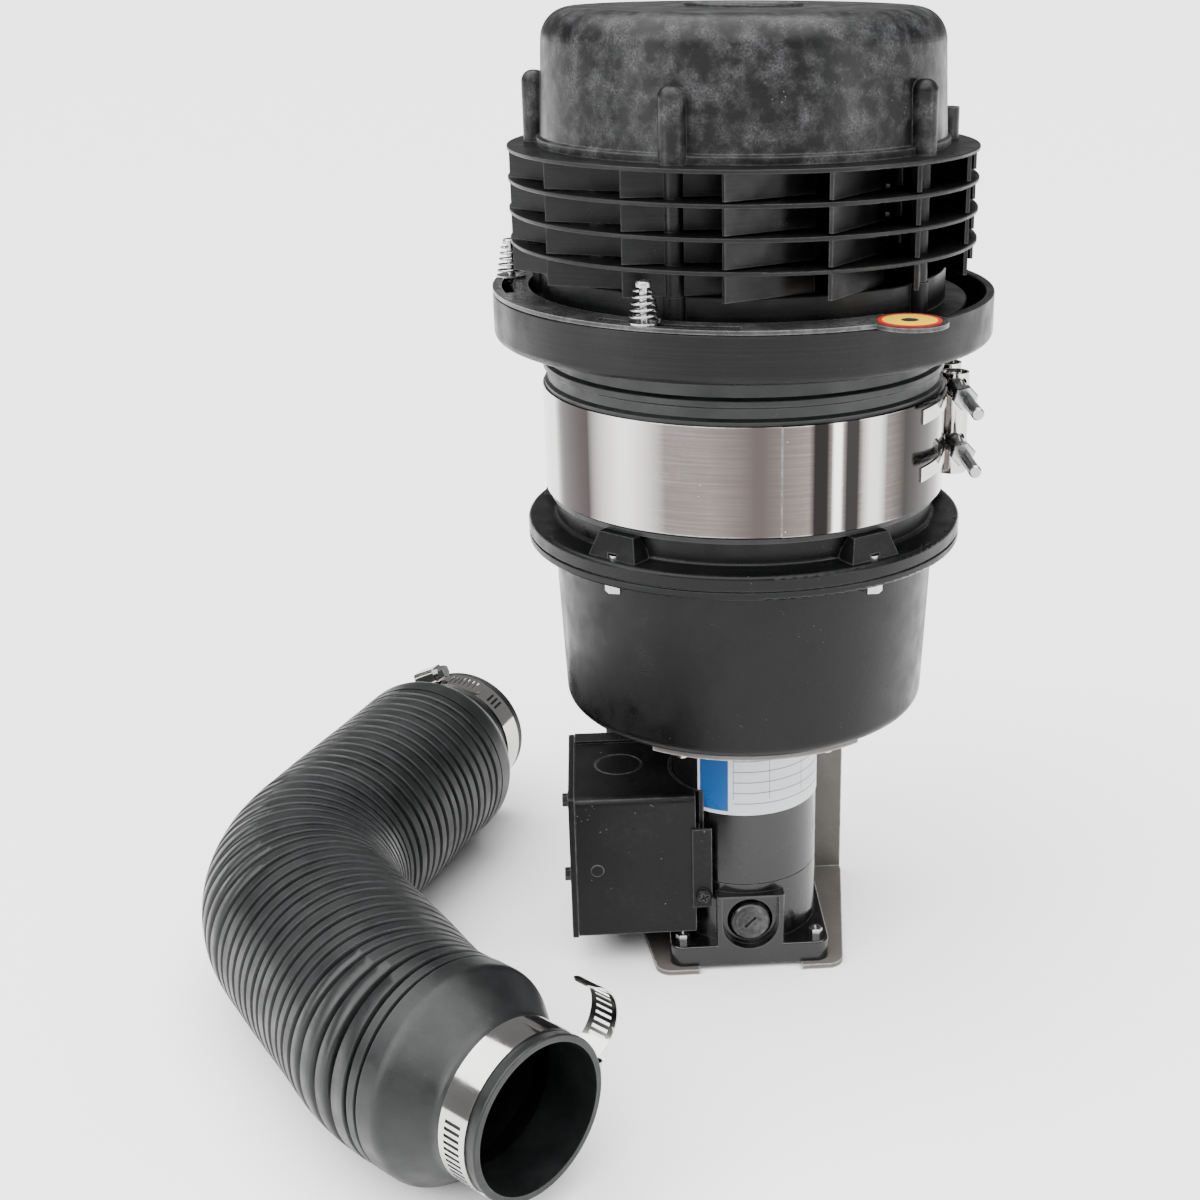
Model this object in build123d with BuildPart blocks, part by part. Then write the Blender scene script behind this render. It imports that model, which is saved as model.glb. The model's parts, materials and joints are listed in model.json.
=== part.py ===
"""Powered air precleaner with its duct hose.

A separator head with a dome and four louvre rings stands on a stainless band joint, over a
blower bowl that a direct-current motor drives. A bent steel bracket carries motor and bowl.
A short corrugated duct with two worm-drive clamps lies beside it.

Millimetres, +Z up. The origin is on the floor, on the axis of the motor and of the head.
The motor's front is -Y. Bearings round the head are degrees from the head's own front,
turning to the right as seen from in front.
"""
from build123d import *
import math
import os

os.makedirs("parts", exist_ok=True)

# ---------------------------------------------------------------- driving dimensions
HEAD_FRONT = -95.0            # the head's front, in degrees from +X
SHEET = 3.0                   # bracket steel
RUN = 0.3                     # gap between bodies that move on each other

MOTOR_R = 39.7                # 3.1 inch motor frame
SHELL_WALL = 3.2
BELL_TOP = 50.0               # seam of the base end bell and the shell
SHELL_TOP = 131.0
FLANGE_SIDE = 87.0            # square foot of the base end bell
FLANGE_TOP = 15.0
SHAFT_R = 5.0
BRUSH_Z = 28.0
BOSS_W = 36.8                 # brush boss on the base bell

BOWL_FLOOR = 150.0
BOWL_RIM = 240.1
BOWL_R_TOP = 98.5
BOWL_R_LOW = 94.4
WALL = 3.0
OUTLET_R = 34.9               # 2.75 inch duct
OUTLET_Z = 196.0
OUTLET_STOP = 106.0           # shoulder that the hose is pushed up to
OUTLET_END = 146.0

FLANGE_R = 111.6
JOINT_Z = 244.5               # bowl flange meets the gasket here
COLLAR_TOP = 252.5
NECK_R = 97.0
NECK_BORE = 92.0

BAND_R = 101.6
BAND_T = 0.9
BAND_LOW = 268.0
BAND_HIGH = 321.0
TBOLT_BEARING = 94.0
TBOLT_HEIGHTS = (285.0, 314.0)
LOOP_R = 7.2

TROUGH_R = 124.4
TROUGH_WALL = 4.3
TROUGH_LOW = 345.4
TROUGH_RIM = 368.0
SHELF_R = 111.0
SHELF_TOP = 364.0
DRUM_R = 100.0
DRUM_TOP = 380.0

PLATE_T = 2.0                 # shutter plate
PLATE_BORE = 107.0
PLATE_FROM = -175.0
PLATE_TO = 36.0
TAB_R = 17.5
SPRING_R = 117.2
SPRING_BEARINGS = (-166.0, -94.0, -22.0)
SLOT_BACK = 10.0              # travel each way that the arc slots allow, in degrees
SLOT_AHEAD = 20.0

RING_R = 114.5
RING_BORE = 90.0
RING_T = 2.0
RING_TOP = 437.5              # upper face of the highest louvre ring
RING_PITCH = 14.53
VANES = 15
VANE_OUT = (113.5, -4.4)      # outer and inner edge of a vane: radius, bearing
VANE_IN = (91.5, 20.2)
VANE_T = 2.0
LUGS = 5
LUG_FIRST = -18.0
POST_R = 4.5
TIE_R = 2.5

DOME_TOP = 500.0
DOME_R_LOW = 98.4
DOME_R_TOP = 96.0

BOX_X = (-93.0, -29.0)        # control box
BOX_Y = (-37.0, 44.0)
BOX_Z = (21.5, 103.5)
BOX_SHEET = 1.6

HOSE_R = 52.3
HOSE_BORE = 43.0
HOSE_Z = 52.6
HOSE_NEAR = (-151.5, -196.3)  # ends of the corrugated length and the corners of its bends
HOSE_CORNERS = ((-170.0, -178.0), (-248.7, -35.2))
HOSE_FAR = (-186.3, 118.5)
HOSE_BEND = 103.0
CUFF_NECK = 37.6
CUFF_LIP = 38.4
CUFF_BORE = 34.9              # fits the outlet spigot
CUFF_LENGTH = 60.0
CLAMP_AT = 38.0               # clamp band, measured from the cuff's root
CLAMP_W = 15.9


def around(radius, bearing, height=0.0):
    """Point at a radius and a bearing round the head."""
    angle = math.radians(HEAD_FRONT + bearing)
    return (radius * math.cos(angle), radius * math.sin(angle), height)


def profile(corners, soften=()):
    """Closed profile of (radius, height) corners in the XZ plane.

    soften lists (corner number, radius) for the corners that are rounded.
    """
    with BuildSketch(Plane.XZ) as face:
        with BuildLine():
            Polyline(*corners, close=True)
        make_face()
        for number, radius in soften:
            target = Vector(corners[number][0], corners[number][1])
            corner = face.vertices().sort_by_distance(target)[0]
            fillet(corner, radius)
    return face.sketch


def ring_profile(r_in, r_out, z_low, z_high, soft=0.0):
    """Rectangular section of a plain ring, with its outer corners softened."""
    corners = [(r_in, z_low), (r_out, z_low), (r_out, z_high), (r_in, z_high)]
    softened = [(1, soft), (2, soft)] if soft else ()
    return profile(corners, softened)


def hexagon(across_flats):
    """Circumscribed radius of a hexagon."""
    return across_flats / math.sqrt(3)


finished = []


def keep(builder, name):
    """Label a finished piece and remember it for export."""
    builder.part.label = name
    finished.append((builder.part, name))


# ---------------------------------------------------------------- support bracket
FOOT_FRONT = -47.0
BEND_Y = 65.0
FOOT_W_FRONT = 101.0
BACK_LEFT = -75.0
BACK_RIGHT = 63.6
NOTCH_W = 56.0
EAR_X = 36.5                  # screws of the motor's foot
EAR_Y = 35.0
EAR_SCREW_R = 2.1
NOTCH_DEPTH = 11.0
TOP_PLATE_R = 88.0
BACK_BOLT_X = 60.0            # hole spacing of the back plate
BACK_BOLT_Z = 76.0
BACK_BOLT_MID = 72.0
BACK_HOLE_R = 4.3
BOWL_BOLTS = ((-37.0, -62.0), (37.0, -62.0), (-37.0, 52.0), (37.0, 52.0))
BOWL_BOLT_R = 3.0

with BuildPart() as mounting_bracket:
    with BuildSketch(Plane.XY):
        with BuildLine():
            Polyline(
                (-FOOT_W_FRONT / 2, FOOT_FRONT),
                (FOOT_W_FRONT / 2, FOOT_FRONT),
                (BACK_RIGHT, BEND_Y - 8),
                (BACK_RIGHT, BEND_Y),
                (BACK_LEFT, BEND_Y),
                (BACK_LEFT, BEND_Y - 12),
                (BACK_LEFT + 12, BEND_Y - 30),
                close=True,
            )
        foot = make_face()
        fillet(foot.vertices().group_by(Axis.Y)[0], 9)
        with Locations((0, FOOT_FRONT)):
            Rectangle(NOTCH_W, 2 * NOTCH_DEPTH, mode=Mode.SUBTRACT)
        with GridLocations(2 * EAR_X, 2 * EAR_Y, 2, 2):
            Circle(EAR_SCREW_R, mode=Mode.SUBTRACT)
    extrude(amount=SHEET)
    with BuildSketch(Plane.XZ.offset(-BEND_Y)):
        with Locations(((BACK_LEFT + BACK_RIGHT) / 2, BOWL_FLOOR / 2)):
            Rectangle(BACK_RIGHT - BACK_LEFT, BOWL_FLOOR)
    extrude(amount=SHEET)
    with BuildSketch(Plane.XY.offset(BOWL_FLOOR - SHEET)):
        Circle(TOP_PLATE_R)
        Rectangle(104, 300, mode=Mode.INTERSECT)
        with Locations((0, BEND_Y + 100)):
            Rectangle(300, 200, mode=Mode.SUBTRACT)
        Circle(MOTOR_R - 6, mode=Mode.SUBTRACT)
        with Locations(*BOWL_BOLTS):
            Circle(BOWL_BOLT_R + 0.2, mode=Mode.SUBTRACT)
    extrude(amount=SHEET)
    floor_edges = mounting_bracket.edges().filter_by(Axis.X).group_by(Axis.Z)[0]
    fillet(floor_edges.sort_by(Axis.Y)[-1], 5)
    with BuildSketch(Plane.XZ.offset(-BEND_Y - 1)):
        with Locations((0, BACK_BOLT_MID)):
            with GridLocations(BACK_BOLT_X, BACK_BOLT_Z, 2, 2):
                Circle(BACK_HOLE_R)
    extrude(amount=SHEET + 2, mode=Mode.SUBTRACT)
keep(mounting_bracket, "mounting_bracket")

# ---------------------------------------------------------------- motor
BELL_BORE = 34.0
BEARING_R = 13.0
BEARING_W = 8.0
LOW_BEARING_Z = 8.5
HIGH_BEARING_Z = 134.0
RECESS_W = 30.6
CAP_R = 10.5
CAP_HOLE_R = 12.4
BOSS_FRONT = -FLANGE_SIDE / 2
SADDLE_SCREW = (-25.0, 44.0)
TIE_ROD_X = 31.0
TIE_ROD_R = 2.0

with BuildPart() as motor_base_bell:
    with BuildSketch(Plane.XY.offset(SHEET)):
        RectangleRounded(FLANGE_SIDE, FLANGE_SIDE, 7)
    extrude(amount=FLANGE_TOP - SHEET)
    fillet(motor_base_bell.faces().sort_by(Axis.Z)[-1].edges(), 1.2)
    with BuildSketch(Plane.XY.offset(SHEET)):
        Circle(MOTOR_R)
    extrude(amount=BELL_TOP - SHEET)
    with BuildSketch(Plane.XY.offset(SHEET)):
        with Locations((0, BOSS_FRONT / 2), (0, -BOSS_FRONT / 2)):
            Rectangle(BOSS_W, -BOSS_FRONT)
    extrude(amount=BELL_TOP - 5 - SHEET)
    boss_edges = motor_base_bell.edges().filter_by(Axis.Z).filter_by_position(Axis.Z, 20, 40)
    fillet(boss_edges.filter_by_position(Axis.Y, BOSS_FRONT - 0.1, BOSS_FRONT + 0.1), 1.5)
    with BuildSketch(Plane.XZ.offset(-BOSS_FRONT)):
        with Locations((0, BRUSH_Z)):
            Circle(RECESS_W / 2)
        with Locations((0, BRUSH_Z + 8)):
            Rectangle(RECESS_W, 16)
    extrude(amount=-5, mode=Mode.SUBTRACT)
    with BuildSketch(Plane.XZ):
        with Locations((0, BRUSH_Z)):
            Circle(CAP_HOLE_R)
    extrude(amount=80, both=True, mode=Mode.SUBTRACT)
    revolve(ring_profile(0, BELL_BORE, 18.5, BELL_TOP), axis=Axis.Z, mode=Mode.SUBTRACT)
    revolve(ring_profile(0, BEARING_R, LOW_BEARING_Z, 19), axis=Axis.Z, mode=Mode.SUBTRACT)
    revolve(ring_profile(0, SHAFT_R + 1, LOW_BEARING_Z - 1.5, 19), axis=Axis.Z, mode=Mode.SUBTRACT)
    with BuildSketch(Plane.XY):
        with GridLocations(2 * EAR_X, 2 * EAR_Y, 2, 2):
            Circle(EAR_SCREW_R)
        with Locations((TIE_ROD_X, 0), (-TIE_ROD_X, 0)):
            Circle(TIE_ROD_R + 0.2)
    extrude(amount=60, mode=Mode.SUBTRACT)
    with BuildSketch(Plane.XZ.offset(45)):
        with Locations(SADDLE_SCREW):
            Circle(2.1)
    extrude(amount=-17, mode=Mode.SUBTRACT)
keep(motor_base_bell, "motor_base_bell")

with BuildPart() as motor_shell:
    with BuildSketch(Plane.XY.offset(BELL_TOP)):
        Circle(MOTOR_R)
        Circle(MOTOR_R - SHELL_WALL, mode=Mode.SUBTRACT)
    extrude(amount=SHELL_TOP - BELL_TOP)
    chamfer(motor_shell.edges().group_by(Axis.Z)[0], 0.5)
keep(motor_shell, "motor_shell")

with BuildPart() as motor_top_bell:
    bell = [
        (SHAFT_R + 1.5, HIGH_BEARING_Z + BEARING_W), (BEARING_R, HIGH_BEARING_Z + BEARING_W),
        (BEARING_R, SHELL_TOP), (MOTOR_R, SHELL_TOP), (MOTOR_R, BOWL_FLOOR - SHEET - 0.3),
        (MOTOR_R - 6.5, BOWL_FLOOR - SHEET - 0.3), (MOTOR_R - 6.5, BOWL_FLOOR - 0.1),
        (SHAFT_R + 1.5, BOWL_FLOOR - 0.1),
    ]
    revolve(profile(bell), axis=Axis.Z)
    with BuildSketch(Plane.XY.offset(SHELL_TOP)):
        with Locations((TIE_ROD_X, 0), (-TIE_ROD_X, 0)):
            Circle(TIE_ROD_R + 0.2)
    extrude(amount=10, mode=Mode.SUBTRACT)
keep(motor_top_bell, "motor_top_bell")

with BuildPart() as through_bolts:
    with BuildSketch(Plane.XY.offset(SHEET + 3)):
        with Locations((TIE_ROD_X, 0), (-TIE_ROD_X, 0)):
            Circle(TIE_ROD_R)
    extrude(amount=133)
keep(through_bolts, "through_bolts")

MAGNET_IN = 29.0
MAGNET_OUT = MOTOR_R - SHELL_WALL - 0.1
with BuildPart() as motor_magnets:
    with BuildSketch(Plane.XY.offset(BELL_TOP + 3)):
        Circle(MAGNET_OUT)
        Circle(MAGNET_IN, mode=Mode.SUBTRACT)
        Rectangle(100, 26, mode=Mode.SUBTRACT)
    extrude(amount=72)
keep(motor_magnets, "motor_magnets")

with BuildPart() as motor_bearings:
    race = ring_profile(SHAFT_R, BEARING_R - 0.05, LOW_BEARING_Z, LOW_BEARING_Z + BEARING_W, 0.6)
    revolve(race, axis=Axis.Z)
    race = ring_profile(SHAFT_R, BEARING_R - 0.05, HIGH_BEARING_Z - 0.1, HIGH_BEARING_Z + BEARING_W - 0.1, 0.6)
    revolve(race, axis=Axis.Z)
    revolve(ring_profile(0, SHAFT_R + 0.05, 0, BOWL_FLOOR), axis=Axis.Z, mode=Mode.SUBTRACT)
keep(motor_bearings, "motor_bearings")

# ---------------------------------------------------------------- rotor
SHAFT_TOP = 196.0
CORE_R = 27.5
CORE_Z = (57.0, 118.0)
COMMUTATOR_R = 13.0
COMMUTATOR_Z = (20.5, 37.5)
WINDING_R = 24.0
SLOTS = 12

with BuildPart() as motor_shaft:
    revolve(ring_profile(0, SHAFT_R, LOW_BEARING_Z - 0.5, SHAFT_TOP, 0.8), axis=Axis.Z)
keep(motor_shaft, "motor_shaft")

with BuildPart() as armature_core:
    with BuildSketch(Plane.XY.offset(CORE_Z[0])):
        Circle(CORE_R)
        Circle(SHAFT_R + 0.02, mode=Mode.SUBTRACT)
        with PolarLocations(CORE_R - 1, SLOTS):
            Rectangle(5, 2.2, mode=Mode.SUBTRACT)
        with PolarLocations(CORE_R - 6, SLOTS):
            Circle(2.6, mode=Mode.SUBTRACT)
    extrude(amount=CORE_Z[1] - CORE_Z[0])
keep(armature_core, "armature_core")

with BuildPart() as armature_windings:
    low_end = [(9, 40), (18, 40), (WINDING_R, 46), (WINDING_R, CORE_Z[0] - 0.1), (9, CORE_Z[0] - 0.1)]
    revolve(profile(low_end, [(1, 3), (2, 4)]), axis=Axis.Z)
    high_end = [(9, CORE_Z[1] + 0.1), (WINDING_R, CORE_Z[1] + 0.1), (WINDING_R, 125), (19, 129), (9, 129)]
    revolve(profile(high_end, [(2, 3), (3, 3)]), axis=Axis.Z)
keep(armature_windings, "armature_windings")

with BuildPart() as commutator:
    revolve(ring_profile(SHAFT_R + 0.02, COMMUTATOR_R, *COMMUTATOR_Z, 0.5), axis=Axis.Z)
    with BuildSketch(Plane.XY.offset(COMMUTATOR_Z[0])):
        with PolarLocations(COMMUTATOR_R, 2 * SLOTS):
            Rectangle(1.6, 0.6)
    extrude(amount=20, mode=Mode.SUBTRACT)
keep(commutator, "commutator")

WHEEL_R = 78.0
WHEEL_Z = 163.0
WHEEL_VANES = 12
WHEEL_HIGH = 190.0



def wheel_blade():
    """Plan of one curved blade, from the eye to the wheel's rim."""
    with BuildSketch() as plan:
        with BuildLine():
            ThreePointArc((38, 0), (57, -11), (76, -14))
            offset(amount=0.8, side=Side.BOTH)
        make_face()
    return plan.sketch


with BuildPart() as blower_wheel:
    hub = [
        (SHAFT_R + 0.02, 158), (12, 158), (12, WHEEL_Z), (WHEEL_R, WHEEL_Z), (WHEEL_R, WHEEL_Z + 2),
        (24, WHEEL_Z + 2), (12, 176), (12, 180), (SHAFT_R + 0.02, 180),
    ]
    revolve(profile(hub, [(5, 8)]), axis=Axis.Z)
    with BuildSketch(Plane.XY.offset(WHEEL_Z + 2)):
        with PolarLocations(0, WHEEL_VANES):
            add(wheel_blade())
    extrude(amount=WHEEL_HIGH - WHEEL_Z - 2)
    shroud = [(40, 194), (42, 194), (50, WHEEL_HIGH + 1.5), (WHEEL_R, WHEEL_HIGH), (WHEEL_R, 188), (49, 189.4)]
    revolve(profile(shroud), axis=Axis.Z)
keep(blower_wheel, "blower_wheel")

with BuildPart() as wheel_nut:
    with BuildSketch(Plane.XY.offset(180.1)):
        RegularPolygon(hexagon(16), 6)
        Circle(SHAFT_R + 0.02, mode=Mode.SUBTRACT)
    extrude(amount=8)
    chamfer(wheel_nut.faces().sort_by(Axis.Z)[-1].edges().filter_by(GeomType.LINE), 0.8)
keep(wheel_nut, "wheel_nut")

# ---------------------------------------------------------------- brushes
BRUSH_W = 5.0
HOLDER_W = 8.0
HOLDER_IN = 15.0
HOLDER_OUT = 30.6
CAP_FRONT = 41.8
CAP_BACK = 30.8

with BuildPart() as brush_holders:
    with BuildSketch(Plane.XZ):
        with Locations((0, BRUSH_Z)):
            Rectangle(HOLDER_W, HOLDER_W)
            Rectangle(BRUSH_W + 0.2, BRUSH_W + 0.2, mode=Mode.SUBTRACT)
    extrude(amount=HOLDER_OUT, both=True)
    revolve(ring_profile(0, HOLDER_IN, 0, BELL_TOP), axis=Axis.Z, mode=Mode.SUBTRACT)
keep(brush_holders, "brush_holders")

with BuildPart() as carbon_brushes:
    with BuildSketch(Plane.XZ):
        with Locations((0, BRUSH_Z)):
            Rectangle(BRUSH_W, BRUSH_W)
    extrude(amount=22, both=True)
    bearing_face = ring_profile(0, COMMUTATOR_R + RUN, 0, BELL_TOP)
    revolve(bearing_face, axis=Axis.Z, mode=Mode.SUBTRACT)
keep(carbon_brushes, "carbon_brushes")


def brush_spring(side):
    """Coil between a brush and its cap, as a small closed tube."""
    with BuildPart() as coil:
        with BuildSketch(Plane.XZ.offset(side * 22.2)):
            with Locations((0, BRUSH_Z)):
                Circle(2.2)
                Circle(1.4, mode=Mode.SUBTRACT)
        extrude(amount=side * 8.3)
    return coil.part


with BuildPart() as brush_springs:
    add(brush_spring(1))
    add(brush_spring(-1))
keep(brush_springs, "brush_springs")

with BuildPart() as brush_caps:
    with BuildSketch(Plane.XZ.offset(CAP_BACK)):
        with Locations((0, BRUSH_Z)):
            Circle(CAP_R)
    extrude(amount=CAP_FRONT - CAP_BACK)
    chamfer(brush_caps.faces().sort_by(Axis.Y)[0].edges(), 0.8)
    with BuildSketch(Plane.XZ.offset(CAP_FRONT)):
        with Locations((0, BRUSH_Z)):
            Circle(7.4)
            Circle(7.0, mode=Mode.SUBTRACT)
    extrude(amount=-0.5, mode=Mode.SUBTRACT)
    with BuildSketch(Plane.XZ.offset(CAP_FRONT)):
        with Locations(Location((0, BRUSH_Z, 0), (0, 0, 45))):
            Rectangle(8.6, 1.8)
    extrude(amount=-2.0, mode=Mode.SUBTRACT)
    mirror(about=Plane.XZ)
keep(brush_caps, "brush_caps")

with BuildPart() as base_screws:
    with BuildSketch(Plane.XY.offset(0.4)):
        with GridLocations(2 * EAR_X, 2 * EAR_Y, 2, 2):
            Circle(2.0)
    extrude(amount=FLANGE_TOP - 0.4)
    with BuildSketch(Plane.XY.offset(FLANGE_TOP)):
        with GridLocations(2 * EAR_X, 2 * EAR_Y, 2, 2):
            RegularPolygon(hexagon(6.6), 6)
    extrude(amount=4.2)
    fillet(base_screws.faces().group_by(Axis.Z)[-1].edges(), 0.8)
    with BuildSketch(Plane.XY.offset(FLANGE_TOP + 4.2)):
        with GridLocations(2 * EAR_X, 2 * EAR_Y, 2, 2):
            Rectangle(4.4, 1.0)
            Rectangle(1.0, 4.4)
    extrude(amount=-1.4, mode=Mode.SUBTRACT)
keep(base_screws, "base_screws")

PLATE_LABEL_Z = (92.0, 146.0)
with BuildPart() as name_plate:
    with BuildSketch(Plane.XY.offset(PLATE_LABEL_Z[0])):
        Circle(MOTOR_R + 0.35)
        Circle(MOTOR_R + 0.05, mode=Mode.SUBTRACT)
        with BuildLine():
            Polyline((0, 0), around(120, -38)[:2], around(180, 23)[:2], around(120, 85)[:2], close=True)
        make_face(mode=Mode.INTERSECT)
    extrude(amount=PLATE_LABEL_Z[1] - PLATE_LABEL_Z[0])
keep(name_plate, "name_plate")

# ---------------------------------------------------------------- blower bowl
FLANGE_BOLT_R = 104.6
FLANGE_BOLT_FIRST = -36.0
FLANGE_BOLTS = 5

with BuildPart() as blower_bowl:
    outside = [
        (0, BOWL_FLOOR), (BOWL_R_LOW, BOWL_FLOOR), (BOWL_R_TOP, BOWL_RIM), (FLANGE_R, BOWL_RIM),
        (FLANGE_R, JOINT_Z - 0.2), (0, JOINT_Z - 0.2),
    ]
    revolve(profile(outside, [(1, 7), (3, 1.5), (4, 0.6)]), axis=Axis.Z)
    with BuildSketch(Plane.XZ.offset(-70)):
        with Locations((0, OUTLET_Z)):
            Circle(OUTLET_R + 2.5)
    extrude(amount=70 - OUTLET_STOP)
    with BuildSketch(Plane.XZ.offset(-OUTLET_STOP)):
        with Locations((0, OUTLET_Z)):
            Circle(OUTLET_R)
    extrude(amount=OUTLET_STOP - OUTLET_END)
    bead_edges = blower_bowl.faces().sort_by(Axis.Y)[-1].edges()
    fillet(bead_edges, 1.0)
    inside = [
        (0, BOWL_FLOOR + WALL), (BOWL_R_LOW - WALL, BOWL_FLOOR + WALL), (BOWL_R_TOP - WALL, JOINT_Z),
        (0, JOINT_Z),
    ]
    revolve(profile(inside, [(1, 5)]), axis=Axis.Z, mode=Mode.SUBTRACT)
    with BuildSketch(Plane.XZ.offset(-60)):
        with Locations((0, OUTLET_Z)):
            Circle(OUTLET_R - 2.6)
    extrude(amount=-100, mode=Mode.SUBTRACT)
    with BuildSketch(Plane.XY.offset(BOWL_FLOOR - 1)):
        Circle(13.1)
        with Locations(*BOWL_BOLTS):
            Circle(BOWL_BOLT_R + 0.2)
    extrude(amount=10, mode=Mode.SUBTRACT)
    with BuildSketch(Plane.XY.offset(BOWL_RIM - 1)):
        with PolarLocations(FLANGE_BOLT_R, FLANGE_BOLTS, start_angle=HEAD_FRONT + FLANGE_BOLT_FIRST):
            Circle(3.2)
    extrude(amount=10, mode=Mode.SUBTRACT)
keep(blower_bowl, "blower_bowl")

with BuildPart() as shaft_seal:
    seal = [
        (SHAFT_R + 0.4, BOWL_FLOOR), (13.0, BOWL_FLOOR), (13.0, BOWL_FLOOR + 3.1), (15, BOWL_FLOOR + 3.1),
        (15, BOWL_FLOOR + 4.6), (SHAFT_R + 0.4, BOWL_FLOOR + 4.6),
    ]
    revolve(profile(seal, [(4, 0.6)]), axis=Axis.Z)
keep(shaft_seal, "shaft_seal")

with BuildPart() as bowl_bolts:
    with BuildSketch(Plane.XY.offset(BOWL_FLOOR - 11)):
        with Locations(*BOWL_BOLTS):
            Circle(BOWL_BOLT_R - 0.1)
    extrude(amount=11 + WALL)
    with BuildSketch(Plane.XY.offset(BOWL_FLOOR + WALL)):
        with Locations(*BOWL_BOLTS):
            RegularPolygon(hexagon(9), 6)
    extrude(amount=3)
    with BuildSketch(Plane.XY.offset(BOWL_FLOOR - SHEET)):
        with Locations(*BOWL_BOLTS):
            RegularPolygon(hexagon(9), 6)
    extrude(amount=-5)
keep(bowl_bolts, "bowl_bolts")

# ---------------------------------------------------------------- collar and gasket
GASKET_T = 0.5
SLEEVE_LOW = 264.2
BOSS_TOP = 264.0
BOSS_OUT = 107.5
BOSS_SPAN = 29.0

with BuildPart() as flange_gasket:
    with BuildSketch(Plane.XY.offset(JOINT_Z - 0.15)):
        Circle(FLANGE_R - 1)
        Circle(BOWL_R_TOP - 2, mode=Mode.SUBTRACT)
        with PolarLocations(FLANGE_BOLT_R, FLANGE_BOLTS, start_angle=HEAD_FRONT + FLANGE_BOLT_FIRST):
            Circle(3.2, mode=Mode.SUBTRACT)
    extrude(amount=GASKET_T)
keep(flange_gasket, "flange_gasket")

with BuildPart() as flanged_collar:
    collar_low = JOINT_Z + 0.4
    collar = [
        (NECK_BORE, collar_low), (FLANGE_R, collar_low), (FLANGE_R, COLLAR_TOP), (NECK_R, COLLAR_TOP),
        (NECK_R, 293), (NECK_BORE, 293),
    ]
    revolve(profile(collar, [(1, 0.6), (2, 2.2), (3, 2), (4, 1.5)]), axis=Axis.Z)
    for number in range(FLANGE_BOLTS):
        bearing = FLANGE_BOLT_FIRST + number * 360 / FLANGE_BOLTS
        with BuildSketch(Plane.XY.offset(COLLAR_TOP - 1)):
            with Locations(Location(around(NECK_R + 4, bearing), (0, 0, HEAD_FRONT + bearing))):
                Rectangle(2 * (BOSS_OUT - NECK_R - 4), BOSS_SPAN)
        extrude(amount=BOSS_TOP - COLLAR_TOP + 1, taper=18)
    revolve(ring_profile(0, NECK_BORE, 230, 300), axis=Axis.Z, mode=Mode.SUBTRACT)
    revolve(ring_profile(NECK_R, 130, SLEEVE_LOW - 0.2, 300), axis=Axis.Z, mode=Mode.SUBTRACT)
    with BuildSketch(Plane.XY.offset(JOINT_Z)):
        with PolarLocations(FLANGE_BOLT_R, FLANGE_BOLTS, start_angle=HEAD_FRONT + FLANGE_BOLT_FIRST):
            Circle(3.2)
    extrude(amount=10.5, mode=Mode.SUBTRACT)
keep(flanged_collar, "flanged_collar")

with BuildPart() as flange_bolts:
    with BuildSketch(Plane.XY.offset(BOWL_RIM - 4.2)):
        with PolarLocations(FLANGE_BOLT_R, FLANGE_BOLTS, start_angle=HEAD_FRONT + FLANGE_BOLT_FIRST):
            RegularPolygon(hexagon(9), 6)
    extrude(amount=4.1)
    with BuildSketch(Plane.XY.offset(BOWL_RIM - 0.2)):
        with PolarLocations(FLANGE_BOLT_R, FLANGE_BOLTS, start_angle=HEAD_FRONT + FLANGE_BOLT_FIRST):
            Circle(3.0)
    extrude(amount=14.4)
keep(flange_bolts, "flange_bolts")

# ---------------------------------------------------------------- band joint
SLEEVE_TOP = 341.0
SLEEVE_R = BAND_R - BAND_T - 0.1

with BuildPart() as rubber_sleeve:
    sleeve = [
        (NECK_R + 0.1, SLEEVE_LOW), (SLEEVE_R - 1, SLEEVE_LOW), (SLEEVE_R - 1, 266.5), (SLEEVE_R, 267.5),
        (SLEEVE_R, 323), (99.2, 324.5), (99.2, 329), (101.2, 330), (101.2, 333), (99.6, 334.5),
        (99.6, SLEEVE_TOP), (NECK_R + 0.1, SLEEVE_TOP),
    ]
    revolve(profile(sleeve, [(7, 0.8), (8, 0.8), (10, 0.8)]), axis=Axis.Z)
keep(rubber_sleeve, "rubber_sleeve")

SEAM_BEARING = 10.0
with BuildPart() as band_clamp:
    revolve(ring_profile(BAND_R - BAND_T, BAND_R, BAND_LOW, BAND_HIGH), axis=Axis.Z)
    with BuildSketch(Plane.XY.offset(BAND_LOW)):
        Circle(BAND_R + 0.7)
        Circle(BAND_R - 0.1, mode=Mode.SUBTRACT)
        with BuildLine():
            seam_end = around(150, SEAM_BEARING)[:2]
            tab_end = around(150, TBOLT_BEARING - 5)[:2]
            Polyline((0, 0), seam_end, around(200, 45)[:2], tab_end, close=True)
        make_face(mode=Mode.INTERSECT)
    extrude(amount=BAND_HIGH - BAND_LOW)
keep(band_clamp, "band_clamp")

# the T-bolts lie across the band's side; their own frame runs along the bolt
LOOP_CENTRE = BAND_R + 0.8 + LOOP_R
LOOP_WALL = 1.2
LOOP_FRONT = -4.0
LOOP_REAR = -26.0
TBOLT_R = 3.175
TBOLT_FROM = -28.0
TBOLT_TO = 58.0
SLEEVE_LENGTH = 25.0          # spacer between trunnion and nut
LEG_FROM = 57.0               # the loops' straps lie on the band between these bearings
LEG_TO = 118.0
LEG_H = 7.0


def on_bolt(along, height, out=LOOP_CENTRE):
    """Point on a T-bolt: along it towards the front, at a height and distance from the axis."""
    angle = math.radians(HEAD_FRONT + TBOLT_BEARING)
    x = out * math.cos(angle) + along * math.sin(angle)
    y = out * math.sin(angle) - along * math.cos(angle)
    return (x, y, height)


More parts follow.
